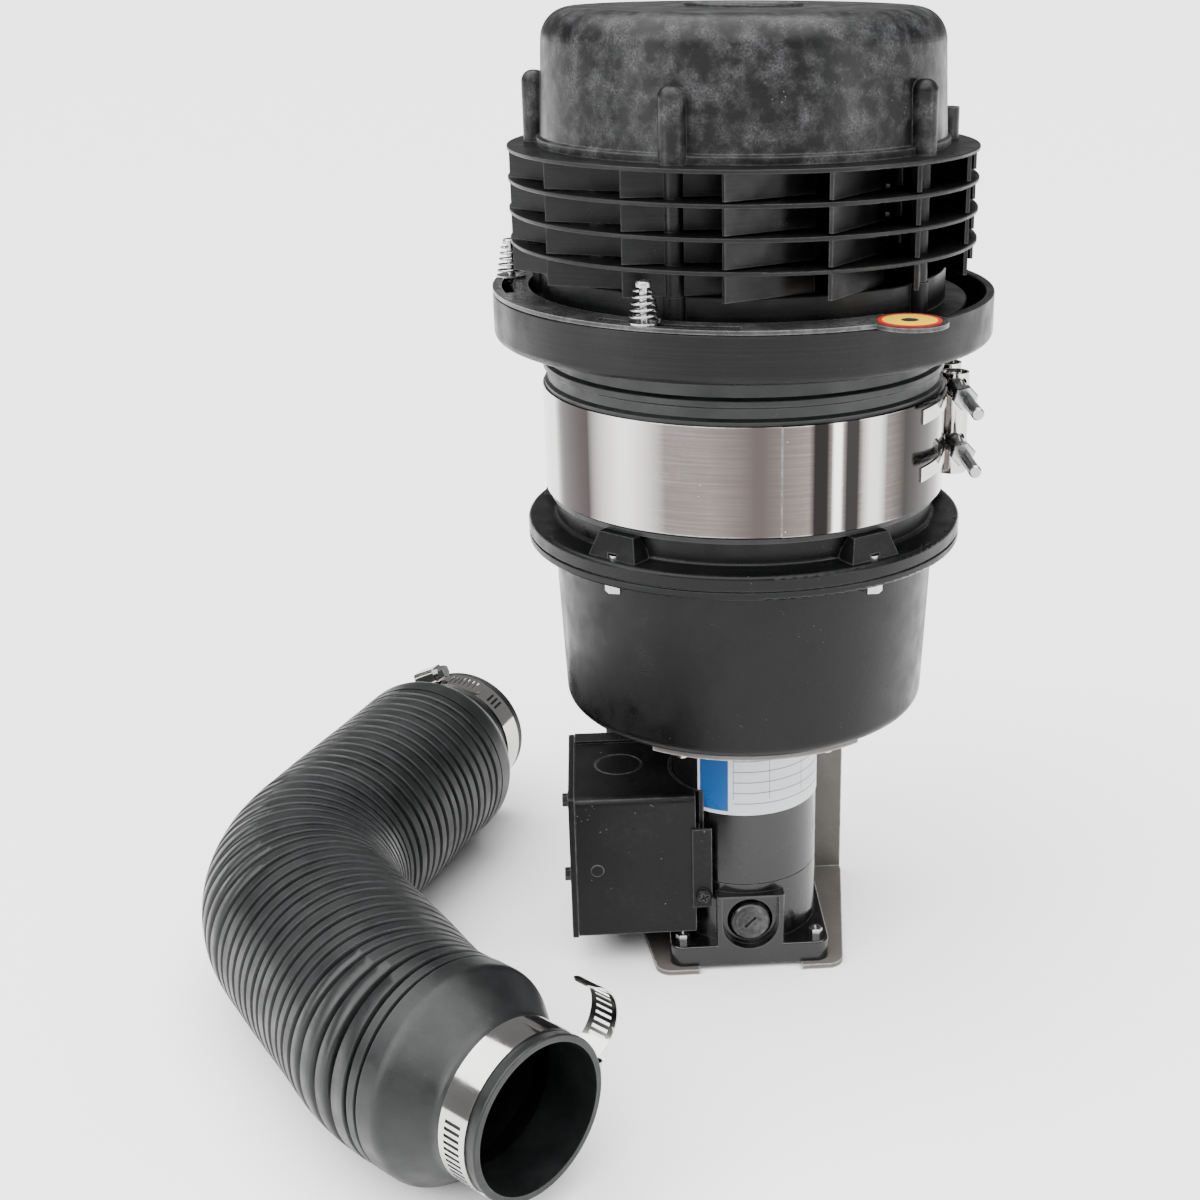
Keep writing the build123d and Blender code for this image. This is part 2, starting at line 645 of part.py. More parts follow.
def bolt_plane(along, height):
    """Plane across a T-bolt, facing its threaded end."""
    angle = math.radians(HEAD_FRONT + TBOLT_BEARING)
    return Plane(
        origin=on_bolt(along, height),
        x_dir=(math.cos(angle), math.sin(angle), 0),
        z_dir=(math.sin(angle), -math.cos(angle), 0),
    )


with BuildPart() as band_loops:
    for along in (LOOP_FRONT, LOOP_REAR):
        with BuildSketch(Plane.XY.offset(BAND_LOW)):
            with Locations(on_bolt(along, 0)[:2]):
                Circle(LOOP_R)
                Circle(LOOP_R - LOOP_WALL, mode=Mode.SUBTRACT)
        extrude(amount=BAND_HIGH - BAND_LOW)
        stem_bearing = TBOLT_BEARING + math.degrees(math.atan2(-along, LOOP_CENTRE))
        stem_end = math.hypot(LOOP_CENTRE, along) - LOOP_R + 0.6
        stem_middle = (BAND_R + 0.75 + stem_end) / 2
        with BuildSketch(Plane.XY.offset(BAND_LOW)):
            with Locations(Location(around(stem_middle, stem_bearing), (0, 0, HEAD_FRONT + stem_bearing))):
                Rectangle(stem_end - BAND_R - 0.75, 3)
        extrude(amount=BAND_HIGH - BAND_LOW)
    for height in TBOLT_HEIGHTS:
        with BuildSketch(bolt_plane(LOOP_REAR, height)):
            RectangleRounded(10.2, 10.2, 3)
        extrude(amount=40, mode=Mode.SUBTRACT)
        with BuildSketch(bolt_plane(LOOP_REAR, height)):
            Circle(4.0)
        extrude(amount=40, both=True, mode=Mode.SUBTRACT)
    for height in TBOLT_HEIGHTS:
        with BuildSketch(Plane.XY.offset(height - LEG_H / 2)):
            Circle(BAND_R + 1.5)
            Circle(BAND_R + 0.75, mode=Mode.SUBTRACT)
            with BuildLine():
                leg_middle = around(200, (LEG_FROM + LEG_TO) / 2)[:2]
                leg_corners = (around(150, LEG_FROM)[:2], leg_middle, around(150, LEG_TO)[:2])
                Polyline((0, 0), *leg_corners, close=True)
            make_face(mode=Mode.INTERSECT)
        extrude(amount=LEG_H)
keep(band_loops, "band_loops")

with BuildPart() as tbolts:
    for height in TBOLT_HEIGHTS:
        with BuildSketch(bolt_plane(TBOLT_FROM, height)):
            Circle(TBOLT_R)
        extrude(amount=TBOLT_TO - TBOLT_FROM)
        with BuildSketch(Plane(origin=on_bolt(LOOP_REAR, height - 5))):
            Circle(LOOP_R - LOOP_WALL - 0.15)
        extrude(amount=10)
    tips = tbolts.edges().filter_by(GeomType.CIRCLE).sort_by(Axis.Y)[:2]
    chamfer(tips, 0.7)
keep(tbolts, "tbolts")

with BuildPart() as tbolt_trunnions:
    for height in TBOLT_HEIGHTS:
        with BuildSketch(Plane(origin=on_bolt(LOOP_FRONT, height - 4.6))):
            Circle(LOOP_R - LOOP_WALL - 0.15)
        extrude(amount=9.2)
        with BuildSketch(bolt_plane(LOOP_FRONT, height)):
            Circle(4.7)
        extrude(amount=SLEEVE_LENGTH)
        with BuildSketch(bolt_plane(LOOP_REAR, height)):
            Circle(TBOLT_R + 0.1)
        extrude(amount=60, mode=Mode.SUBTRACT)
keep(tbolt_trunnions, "tbolt_trunnions")

with BuildPart() as tbolt_nuts:
    for height in TBOLT_HEIGHTS:
        with BuildSketch(bolt_plane(LOOP_FRONT + SLEEVE_LENGTH + 0.05, height)):
            RegularPolygon(hexagon(11.1), 6, rotation=12)
            Circle(TBOLT_R + 0.05, mode=Mode.SUBTRACT)
        extrude(amount=5.5)
    chamfer(tbolt_nuts.edges().filter_by(GeomType.LINE, reverse=False).filter_by(
        lambda edge: abs(edge.length - hexagon(11.1)) < 0.01), 0.5)
keep(tbolt_nuts, "tbolt_nuts")

# ---------------------------------------------------------------- trough and shutter
with BuildPart() as trough_ring:
    trough = [
        (NECK_BORE, 297), (NECK_R, 297), (NECK_R, TROUGH_LOW), (TROUGH_R, TROUGH_LOW), (TROUGH_R, TROUGH_RIM),
        (TROUGH_R - TROUGH_WALL, TROUGH_RIM), (TROUGH_R - TROUGH_WALL, TROUGH_LOW + 3.5),
        (NECK_BORE, TROUGH_LOW + 3.5),
    ]
    revolve(profile(trough, [(3, 3.5), (4, 0.8), (5, 1.0)]), axis=Axis.Z)
    with BuildSketch(Plane.XY.offset(TROUGH_LOW + 3.5)):
        with Locations(*[around(SPRING_R, bearing)[:2] for bearing in SPRING_BEARINGS]):
            Circle(4.2)
    extrude(amount=TROUGH_RIM - TROUGH_LOW - 5)
    with BuildSketch(Plane.XY.offset(TROUGH_RIM - 14)):
        with Locations(*[around(SPRING_R, bearing)[:2] for bearing in SPRING_BEARINGS]):
            Circle(2.05)
    extrude(amount=20, mode=Mode.SUBTRACT)
keep(trough_ring, "trough_ring")

PLATE_LOW = TROUGH_RIM + RUN
PLATE_HIGH = PLATE_LOW + PLATE_T
TAB_CENTRE_R = 126.0
LABEL_R = 14.5
LABEL_T = 0.4


def sector(r_in, r_out, bearing_from, bearing_to):
    """Plan of a ring sector between two bearings."""
    middle = (bearing_from + bearing_to) / 2
    with BuildSketch() as plan:
        with BuildLine():
            a = around(r_out, bearing_from)[:2]
            b = around(r_out, bearing_to)[:2]
            c = around(r_in, bearing_to)[:2]
            d = around(r_in, bearing_from)[:2]
            ThreePointArc(a, around(r_out, middle)[:2], b)
            Line(b, c)
            ThreePointArc(c, around(r_in, middle)[:2], d)
            Line(d, a)
        make_face()
    return plan.sketch


with BuildPart() as shutter_plate:
    with BuildSketch(Plane.XY.offset(PLATE_LOW)):
        add(sector(PLATE_BORE, TROUGH_R, PLATE_FROM, PLATE_TO))
        with Locations(around(TAB_CENTRE_R, PLATE_TO)[:2]):
            Circle(TAB_R)
        for bearing in SPRING_BEARINGS:
            slot_from = bearing - SLOT_BACK - 1.5
            slot_to = bearing + SLOT_AHEAD + 1.5
            add(sector(SPRING_R - 2.7, SPRING_R + 2.7, slot_from, slot_to), mode=Mode.SUBTRACT)
    extrude(amount=PLATE_T)
keep(shutter_plate, "shutter_plate")

with BuildPart() as shutter_label:
    with BuildSketch(Plane.XY.offset(PLATE_HIGH)):
        with Locations(around(TAB_CENTRE_R, PLATE_TO)[:2]):
            Circle(LABEL_R)
    extrude(amount=LABEL_T)
keep(shutter_label, "shutter_label")

SPRING_LOW = PLATE_HIGH + RUN + 0.9
SPRING_HIGH = 386.0
SPRING_WIRE = 0.6
SPRING_LOW_R = 6.7
SPRING_TOP_R = 4.2
SPRING_PITCH = 2.9

with BuildPart() as shutter_washers:
    for bearing in SPRING_BEARINGS:
        with BuildSketch(Plane.XY.offset(PLATE_HIGH + RUN)):
            with Locations(around(SPRING_R, bearing)[:2]):
                Circle(7.4)
                Circle(2.2, mode=Mode.SUBTRACT)
        extrude(amount=0.8)
    revolve(ring_profile(0, RING_BORE, 300, 400), axis=Axis.Z, mode=Mode.SUBTRACT)
keep(shutter_washers, "shutter_washers")

with BuildPart() as spring_screws:
    for bearing in SPRING_BEARINGS:
        with BuildSketch(Plane.XY.offset(TROUGH_RIM - 12)):
            with Locations(around(SPRING_R, bearing)[:2]):
                Circle(2.0)
        extrude(amount=SPRING_HIGH + 1.2 - TROUGH_RIM + 12)
        with BuildSketch(Plane.XY.offset(SPRING_HIGH + 0.8)):
            with Locations(around(SPRING_R, bearing)[:2]):
                Circle(3.6)
        extrude(amount=2.6)
    crowns = spring_screws.faces().group_by(Axis.Z)[-1].edges()
    fillet(crowns, 1.2)
    for bearing in SPRING_BEARINGS:
        with BuildSketch(Plane.XY.offset(SPRING_HIGH + 3.4)):
            with Locations(around(SPRING_R, bearing)[:2]):
                Rectangle(4, 0.9)
                Rectangle(0.9, 4)
        extrude(amount=-1.2, mode=Mode.SUBTRACT)
keep(spring_screws, "spring_screws")


def cone_spring():
    """Conical coil spring standing on its wide end."""
    rise = SPRING_HIGH - SPRING_LOW - 2 * SPRING_WIRE
    lean = -math.degrees(math.atan((SPRING_LOW_R - SPRING_TOP_R) / rise))
    with BuildPart() as coil:
        with BuildLine() as path:
            Helix(pitch=SPRING_PITCH, height=rise, radius=SPRING_LOW_R, cone_angle=lean)
        with BuildSketch(Plane(origin=path.wire() @ 0, z_dir=path.wire() % 0)):
            Circle(SPRING_WIRE)
        sweep(is_frenet=True)
    return coil.part


with BuildPart() as shutter_springs:
    one_spring = cone_spring()
    for bearing in SPRING_BEARINGS:
        with Locations(around(SPRING_R, bearing, SPRING_LOW + SPRING_WIRE)):
            add(one_spring)
keep(shutter_springs, "shutter_springs")

# ---------------------------------------------------------------- separator head
TUBE_R = 60.0
TUBE_TOP = 424.0
TIE_HEAD_Z = 357.2

with BuildPart() as head_base:
    base = [
        (SHELF_R, TROUGH_LOW + 3.6), (SHELF_R, SHELF_TOP), (DRUM_R, SHELF_TOP), (DRUM_R, DRUM_TOP),
        (TUBE_R, DRUM_TOP), (TUBE_R, TUBE_TOP), (TUBE_R - 3, TUBE_TOP), (TUBE_R - 3, DRUM_TOP - 3),
        (DRUM_R - 3, DRUM_TOP - 3), (DRUM_R - 3, SHELF_TOP - 3), (SHELF_R - 3, SHELF_TOP - 3),
        (SHELF_R - 3, TROUGH_LOW + 3.6),
    ]
    revolve(profile(base, [(1, 1.2), (2, 0.8), (3, 1.0), (4, 3), (5, 0.8)]), axis=Axis.Z)
    with BuildSketch(Plane.XY.offset(SHELF_TOP - 3)):
        with PolarLocations(DRUM_R, LUGS, start_angle=HEAD_FRONT + LUG_FIRST):
            Circle(5.2)
    extrude(amount=DRUM_TOP - SHELF_TOP + 3)
    with BuildSketch(Plane.XY.offset(SHELF_TOP - 4)):
        with PolarLocations(DRUM_R, LUGS, start_angle=HEAD_FRONT + LUG_FIRST):
            Circle(TIE_R + 0.15)
    extrude(amount=30, mode=Mode.SUBTRACT)
keep(head_base, "head_base")


def vane_plan():
    """Plan of one straight vane, from the ring's rim to its bore."""
    x_out, y_out = around(*VANE_OUT)[:2]
    x_in, y_in = around(*VANE_IN)[:2]
    turn = math.degrees(math.atan2(y_in - y_out, x_in - x_out))
    with BuildSketch() as plan:
        with Locations(Location(((x_out + x_in) / 2, (y_out + y_in) / 2, 0), (0, 0, turn))):
            Rectangle(math.dist((x_out, y_out), (x_in, y_in)), VANE_T)
    return plan.sketch


def louver_ring(number):
    """One stacked ring: a plate with vanes and spacer posts hanging under it."""
    plate_low = RING_TOP - RING_T - number * RING_PITCH
    lowest = number == 3
    vane_drop = 11.8 if lowest else RING_PITCH - RING_T - 0.9
    post_drop = plate_low - DRUM_TOP - 0.05 if lowest else RING_PITCH - RING_T - 0.05
    with BuildPart() as ring:
        revolve(ring_profile(RING_BORE, RING_R, plate_low, plate_low + RING_T, 0.5), axis=Axis.Z)
        with BuildSketch(Plane.XY.offset(plate_low)):
            with PolarLocations(0, VANES):
                add(vane_plan())
        extrude(amount=-vane_drop)
        with BuildSketch(Plane.XY.offset(plate_low)):
            with PolarLocations(DRUM_R, LUGS, start_angle=HEAD_FRONT + LUG_FIRST):
                Circle(POST_R)
        extrude(amount=-post_drop)
        with BuildSketch(Plane.XY.offset(plate_low + RING_T + 1)):
            with PolarLocations(DRUM_R, LUGS, start_angle=HEAD_FRONT + LUG_FIRST):
                Circle(TIE_R + 0.15)
        extrude(amount=-RING_PITCH - 5, mode=Mode.SUBTRACT)
    return ring


for number in range(4):
    keep(louver_ring(number), f"louver_ring_{number + 1}")

LUG_R = 6.15
LUG_CENTRE = 100.8
LUG_TOP = 471.0
STUB_BEARING = 98.0
DOME_LOW = RING_TOP + 0.1
PIN_R = 4.0
PIN_BOSS_R = 11.0
PIN_LOW = 443.0

def lug():
    """Upright boss with a domed top, on its own axis."""
    corners = [(0, DOME_LOW), (LUG_R, DOME_LOW), (LUG_R, LUG_TOP), (0, LUG_TOP)]
    with BuildPart() as boss:
        revolve(profile(corners, [(2, 5.4)]), axis=Axis.Z)
    return boss.part


with BuildPart() as dome_cap:
    outside = [
        (0, DOME_LOW), (100.2, DOME_LOW), (100.2, 441), (DOME_R_LOW, 442), (DOME_R_TOP, DOME_TOP), (0, DOME_TOP),
    ]
    revolve(profile(outside, [(4, 15)]), axis=Axis.Z)
    for number in range(LUGS):
        with Locations(around(LUG_CENTRE, LUG_FIRST + number * 360 / LUGS)):
            add(lug())
    with BuildSketch(Plane.XY.offset(DOME_LOW)):
        with Locations(around(LUG_CENTRE, STUB_BEARING)[:2]):
            Circle(LUG_R)
    extrude(amount=15)
    inside = [
        (0, DOME_LOW), (DOME_R_LOW - WALL, DOME_LOW), (DOME_R_TOP - WALL, DOME_TOP - WALL), (0, DOME_TOP - WALL),
    ]
    revolve(profile(inside, [(2, 12)]), axis=Axis.Z, mode=Mode.SUBTRACT)
    with BuildSketch(Plane.XY.offset(DOME_TOP - WALL)):
        Circle(PIN_BOSS_R)
    extrude(amount=-14)
    with BuildSketch(Plane.XY.offset(DOME_TOP)):
        Circle(28.5)
    extrude(amount=1.6)
    fillet(dome_cap.faces().sort_by(Axis.Z)[-1].edges(), 0.8)
    revolve(ring_profile(0, PIN_R + 0.02, 440, DOME_TOP - 6), axis=Axis.Z, mode=Mode.SUBTRACT)
    with BuildSketch(Plane.XY.offset(DOME_LOW)):
        with PolarLocations(DRUM_R, LUGS, start_angle=HEAD_FRONT + LUG_FIRST):
            Circle(TIE_R + 0.15)
    extrude(amount=24, mode=Mode.SUBTRACT)
keep(dome_cap, "dome_cap")

with BuildPart() as tie_bolts:
    with BuildSketch(Plane.XY.offset(SHELF_TOP - 3.1)):
        with PolarLocations(DRUM_R, LUGS, start_angle=HEAD_FRONT + LUG_FIRST):
            Circle(TIE_R)
    extrude(amount=DOME_LOW + 22 - SHELF_TOP + 3.1)
    with BuildSketch(Plane.XY.offset(SHELF_TOP - 3.1)):
        with PolarLocations(DRUM_R, LUGS, start_angle=HEAD_FRONT + LUG_FIRST):
            RegularPolygon(hexagon(8), 6)
    extrude(amount=-3.5)
keep(tie_bolts, "tie_bolts")

# ---------------------------------------------------------------- dust spinner
SPINNER_Z = (450.0, 470.0)
SPINNER_R = 86.0
SPINNER_ARMS = 4
HUB_R = 13.0
SLEEVE_OUT = 6.5

with BuildPart() as spinner_pin:
    revolve(ring_profile(0, PIN_R, PIN_LOW, DOME_TOP - 6.2), axis=Axis.Z)
    with BuildSketch(Plane.XY.offset(PIN_LOW)):
        RegularPolygon(hexagon(13), 6)
    extrude(amount=5)
keep(spinner_pin, "spinner_pin")

with BuildPart() as spinner_bush:
    bush_low = PIN_LOW + 5 + RUN
    bush_high = DOME_TOP - WALL - 14 - RUN
    revolve(ring_profile(PIN_R + 0.05, SLEEVE_OUT, bush_low, bush_high), axis=Axis.Z)
keep(spinner_bush, "spinner_bush")

with BuildPart() as dust_spinner:
    revolve(ring_profile(SLEEVE_OUT, HUB_R, SPINNER_Z[0] - 0.5, SPINNER_Z[1] + 6, 1.5), axis=Axis.Z)
    with BuildSketch(Plane.XY.offset(SPINNER_Z[0])):
        with PolarLocations(SPINNER_R / 2 + 5, SPINNER_ARMS):
            Rectangle(SPINNER_R - 12, 3)
    extrude(amount=8)
    with BuildSketch(Plane.XY.offset(SPINNER_Z[0])):
        with PolarLocations(SPINNER_R - 13, SPINNER_ARMS):
            Rectangle(24, 2.4, rotation=20)
    extrude(amount=SPINNER_Z[1] - SPINNER_Z[0])
    revolve(ring_profile(0, SLEEVE_OUT, 440, 490), axis=Axis.Z, mode=Mode.SUBTRACT)
keep(dust_spinner, "dust_spinner")

# ---------------------------------------------------------------- control box
BOX_W = BOX_X[1] - BOX_X[0]
BOX_D = BOX_Y[1] - BOX_Y[0]
BOX_H = BOX_Z[1] - BOX_Z[0]
BOX_MID = ((BOX_X[0] + BOX_X[1]) / 2, (BOX_Y[0] + BOX_Y[1]) / 2, (BOX_Z[0] + BOX_Z[1]) / 2)
COVER_X = (-96.4, -93.1)
COVER_SCREWS = ((0.0, 39.5), (0.0, 85.5))
KNOCKOUT = (-69.0, 5.0)
KNOCKOUT_R = 13.0
LAP_W = 11.0
SADDLE_R = MOTOR_R + 0.5

with BuildPart() as control_box:
    with Locations(BOX_MID):
        Box(BOX_W, BOX_D, BOX_H)
    front_top = control_box.edges().filter_by(Axis.X).group_by(Axis.Z)[-1].sort_by(Axis.Y)[0]
    fillet(front_top, 5)
    with Locations((BOX_MID[0], BOX_MID[1], BOX_MID[2])):
        Box(BOX_W + 10, BOX_D - 2 * BOX_SHEET, BOX_H - 2 * BOX_SHEET, mode=Mode.SUBTRACT)
    with Locations((BOX_MID[0], BOX_Y[1] - LAP_W / 2, BOX_Z[1] + 0.8)):
        Box(BOX_W, LAP_W, 1.6)
    with BuildSketch(Plane.XY.offset(BOX_Z[1] + 0.5)):
        with Locations(KNOCKOUT):
            Circle(KNOCKOUT_R)
            Circle(KNOCKOUT_R - 0.7, mode=Mode.SUBTRACT)
    extrude(amount=-1.1, mode=Mode.SUBTRACT)
    with BuildSketch(Plane.XZ.offset(-BOX_Y[0])):
        with Locations((-82.0, 61.0)):
            Circle(3.4)
    extrude(amount=0.5)
    revolve(ring_profile(0, SADDLE_R + 1.6, BOX_Z[0] - 5, BOX_Z[1] + 5), axis=Axis.Z, mode=Mode.SUBTRACT)
keep(control_box, "control_box")

with BuildPart() as box_cover:
    with Locations(((COVER_X[0] + COVER_X[1]) / 2, BOX_MID[1], BOX_MID[2])):
        Box(COVER_X[1] - COVER_X[0], BOX_D + 2.4, BOX_H + 2.4)
    fillet(box_cover.edges().filter_by(Axis.X), 2)
    fillet(box_cover.faces().sort_by(Axis.X)[0].edges(), 0.8)
    with BuildSketch(Plane.YZ.offset(COVER_X[1] + 1)):
        with Locations(*COVER_SCREWS):
            Circle(2.1)
    extrude(amount=-6, mode=Mode.SUBTRACT)
keep(box_cover, "box_cover")

with BuildPart() as box_cover_screws:
    with BuildSketch(Plane.YZ.offset(COVER_X[1] + 6)):
        with Locations(*COVER_SCREWS):
            Circle(2.0)
    extrude(amount=COVER_X[0] - COVER_X[1] - 6)
    with BuildSketch(Plane.YZ.offset(COVER_X[0])):
        with Locations(*COVER_SCREWS):
            Circle(4.6)
    extrude(amount=-0.9)
    with BuildSketch(Plane.YZ.offset(COVER_X[0] - 0.9)):
        with Locations(*COVER_SCREWS):
            RegularPolygon(hexagon(6.4), 6)
    extrude(amount=-3.0)
    fillet(box_cover_screws.faces().sort_by(Axis.X)[0].edges(), 0.5)
keep(box_cover_screws, "box_cover_screws")

STRIP_X = (-31.0, -20.5)
STRIP_Z = (37.0, 84.0)
STRIP_Y = (-38.8, -37.2)

with BuildPart() as box_saddle:
    with BuildSketch(Plane.XY.offset(STRIP_Z[0])):
        Circle(SADDLE_R + 1.5)
        Circle(SADDLE_R, mode=Mode.SUBTRACT)
        with Locations((-60, 3)):
            Rectangle(80, 70, mode=Mode.INTERSECT)
    extrude(amount=BOX_Z[1] - STRIP_Z[0])
    with BuildSketch(Plane.XY.offset(STRIP_Z[0])):
        with Locations(((STRIP_X[0] + STRIP_X[1]) / 2, (STRIP_Y[0] + STRIP_Y[1]) / 2)):
            Rectangle(STRIP_X[1] - STRIP_X[0], STRIP_Y[1] - STRIP_Y[0])
        with Locations((-27.9, -34.4)):
            Rectangle(1.8, 8.8)
        Circle(SADDLE_R, mode=Mode.SUBTRACT)
    extrude(amount=STRIP_Z[1] - STRIP_Z[0])
    with BuildSketch(Plane.XZ.offset(-STRIP_Y[0] + 1)):
        with Locations(SADDLE_SCREW):
            Circle(2.2)
    extrude(amount=-10, mode=Mode.SUBTRACT)
keep(box_saddle, "box_saddle")

with BuildPart() as saddle_screw:
    with BuildSketch(Plane.XZ.offset(-STRIP_Y[0])):
        with Locations(SADDLE_SCREW):
            Circle(2.0)
    extrude(amount=-9)
    with BuildSketch(Plane.XZ.offset(-STRIP_Y[0])):
        with Locations(SADDLE_SCREW):
            Circle(4.4)
    extrude(amount=2.6)
    fillet(saddle_screw.faces().sort_by(Axis.Y)[0].edges(), 1.4)
    with BuildSketch(Plane.XZ.offset(-STRIP_Y[0] + 2.6)):
        with Locations(Location((SADDLE_SCREW[0], SADDLE_SCREW[1], 0), (0, 0, 25))):
            Rectangle(5.2, 1.1)
            Rectangle(1.1, 5.2)
    extrude(amount=-1.6, mode=Mode.SUBTRACT)
keep(saddle_screw, "saddle_screw")

with BuildPart() as terminal_block:
    with Locations((-72, 6, BOX_Z[0] + BOX_SHEET + 9)):
        Box(22, 44, 18)
    with Locations((-72, 6, BOX_Z[0] + BOX_SHEET + 15)):
        with GridLocations(0, 11, 1, 4):
            Box(30, 8, 12, mode=Mode.SUBTRACT)
keep(terminal_block, "terminal_block")

# ---------------------------------------------------------------- duct hose
NEAR = Vector(*HOSE_NEAR, HOSE_Z)
CORNERS = [Vector(*corner, HOSE_Z) for corner in HOSE_CORNERS]
FAR = Vector(*HOSE_FAR, HOSE_Z)
NEAR_OUT = (NEAR - CORNERS[0]).normalized()
FAR_OUT = (FAR - CORNERS[1]).normalized()
BAND_IN = CUFF_NECK + 0.1
CLAMP_T = 0.8
HOUSING_LEAN = {"near": -8.0, "far": 66.0}   # clamp screw's place round each cuff, up from its side
WORM_R = 3.4
WORM_OUT = BAND_IN + CLAMP_T + 4.6


def cuff_plane(root, outward):
    """Plane across a hose end: its own X is level, its Z points out of the mouth."""
    side = Vector(-outward.Y, outward.X, 0)
    return Plane(origin=root, x_dir=side, z_dir=outward)


ENDS = {"near": cuff_plane(NEAR, NEAR_OUT), "far": cuff_plane(FAR, FAR_OUT)}

with BuildPart() as duct_hose:
    with BuildLine():
        FilletPolyline(NEAR, *CORNERS, FAR, radius=HOSE_BEND)
    with BuildSketch(Plane(origin=NEAR, x_dir=(0, 0, 1), z_dir=-NEAR_OUT)):
        Circle(HOSE_R)
        Circle(HOSE_BORE, mode=Mode.SUBTRACT)
    sweep()
keep(duct_hose, "duct_hose")


def cuff(plane):
    """Rubber end: a bulge at the hose, a neck for the clamp and a flared mouth."""
    corners = [
        (HOSE_BORE, 0.1), (HOSE_R - 0.5, 0.1), (HOSE_R - 0.5, 12), (CUFF_NECK, 33), (CUFF_NECK, 54.5),
        (CUFF_LIP, CUFF_LENGTH), (CUFF_BORE, CUFF_LENGTH), (CUFF_BORE, 30), (HOSE_BORE, 14),
    ]
    with BuildPart() as end:
        revolve(profile(corners, [(2, 10), (3, 7), (5, 0.8)]), axis=Axis.Z)
    return plane.location * end.part


with BuildPart() as near_cuff:
    add(cuff(ENDS["near"]))
keep(near_cuff, "near_cuff")

with BuildPart() as far_cuff:
    add(cuff(ENDS["far"]))
keep(far_cuff, "far_cuff")


def strip(centre, radius, angle_from, angle_to):
    """Section of a curved length of clamp strip, across a cuff's own axis."""
    with BuildSketch(Plane.XY.offset(CLAMP_AT)) as section:
        with BuildLine():
            inner = CenterArc(centre, radius, angle_from, angle_to - angle_from)
            outer = CenterArc(centre, radius + CLAMP_T, angle_from, angle_to - angle_from)
            Line(inner @ 0, outer @ 0)
            Line(inner @ 1, outer @ 1)
        make_face()
    return section.sketch


def clamp_band(plane, tail):
    """Stainless strip round a cuff, with its free end past the screw."""
    with BuildPart() as band:
        revolve(ring_profile(BAND_IN, BAND_IN + CLAMP_T, CLAMP_AT, CLAMP_AT + CLAMP_W), axis=Axis.Z)
        extrude(strip(*tail), amount=CLAMP_W)
    return plane.location * band.part


NEAR_TAIL = ((36.9, 24.0), 18.1, -88.3, 97.6)     # springs away from the cuff
FAR_TAIL = ((0.0, 0.0), BAND_IN + CLAMP_T - 0.1, 82.0, 120.0)

with BuildPart() as clamp_bands:
    add(clamp_band(ENDS["near"], NEAR_TAIL))
    add(clamp_band(ENDS["far"], FAR_TAIL))
keep(clamp_bands, "clamp_bands")


def screw_plane(plane, lean):
    """Plane across a worm screw, with its Z along the screw."""
    spot = Rot(0, 0, lean) * Pos(WORM_OUT, 0, CLAMP_AT + CLAMP_W / 2) * Rot(-90, 0, 0)
    return Plane(plane.location * spot)


def clamp_housing(plane, lean):
    """Pressed housing that holds the worm screw on the band."""
    seat = BAND_IN + CLAMP_T + 0.1
    with BuildPart() as housing:
        with Locations((seat + 4.6, 0, CLAMP_AT + CLAMP_W / 2)):
            Box(9.2, 14, 12)
        fillet(housing.edges().filter_by(Axis.Y), 2.5)
        with Locations(Location((WORM_OUT, 0, CLAMP_AT + CLAMP_W / 2), (90, 0, 0))):
            Cylinder(WORM_R + 0.08, 40, mode=Mode.SUBTRACT)
        revolve(ring_profile(0, seat, 0, 100), axis=Axis.Z, mode=Mode.SUBTRACT)
    return plane.location * (Rot(0, 0, lean) * housing.part)


with BuildPart() as clamp_housings:
    for end in ("near", "far"):
        add(clamp_housing(ENDS[end], HOUSING_LEAN[end]))
keep(clamp_housings, "clamp_housings")


def worm_screw(end, side):
    """Worm with a hexagon head on the side away from the strip's free end."""
    with BuildPart() as worm:
        with BuildSketch(screw_plane(ENDS[end], HOUSING_LEAN[end]).offset(-9)):
            Circle(WORM_R)
        extrude(amount=18)
        with BuildSketch(screw_plane(ENDS[end], HOUSING_LEAN[end]).offset(9 * side)):
            RegularPolygon(hexagon(7), 6)
        extrude(amount=4 * side)
    return worm


keep(worm_screw("near", -1), "near_worm_screw")
keep(worm_screw("far", 1), "far_worm_screw")

for shape, title in finished:
    export_step(shape, f"parts/{title}.step")
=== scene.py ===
# %% [markdown]
# # A powered air precleaner, dressed for a studio picture
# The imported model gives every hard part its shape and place. This lesson adds what it can't
# hold: the ribs of the rubber duct, the slotted clamp strips, and a finish for each surface.
# Everything is in metres, and the model's own frame is used all the way.

# %% Load the frame
import bpy
import json
import math
from mathutils import Matrix, Vector


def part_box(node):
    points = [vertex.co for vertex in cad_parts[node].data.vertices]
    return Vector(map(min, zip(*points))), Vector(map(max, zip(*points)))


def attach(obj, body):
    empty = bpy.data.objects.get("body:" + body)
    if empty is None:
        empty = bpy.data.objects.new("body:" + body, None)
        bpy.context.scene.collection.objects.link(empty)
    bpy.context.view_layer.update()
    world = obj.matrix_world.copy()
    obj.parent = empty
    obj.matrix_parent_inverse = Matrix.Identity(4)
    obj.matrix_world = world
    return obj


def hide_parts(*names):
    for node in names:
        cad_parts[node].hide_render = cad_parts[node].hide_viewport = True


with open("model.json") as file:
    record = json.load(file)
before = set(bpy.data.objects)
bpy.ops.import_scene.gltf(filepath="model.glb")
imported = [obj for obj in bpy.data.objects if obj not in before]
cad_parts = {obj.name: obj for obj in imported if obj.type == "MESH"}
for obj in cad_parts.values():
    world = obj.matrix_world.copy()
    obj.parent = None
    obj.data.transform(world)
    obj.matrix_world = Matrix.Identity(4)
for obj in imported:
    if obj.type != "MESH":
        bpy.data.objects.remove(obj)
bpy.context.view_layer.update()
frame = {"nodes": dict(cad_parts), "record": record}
nodes = frame["nodes"]

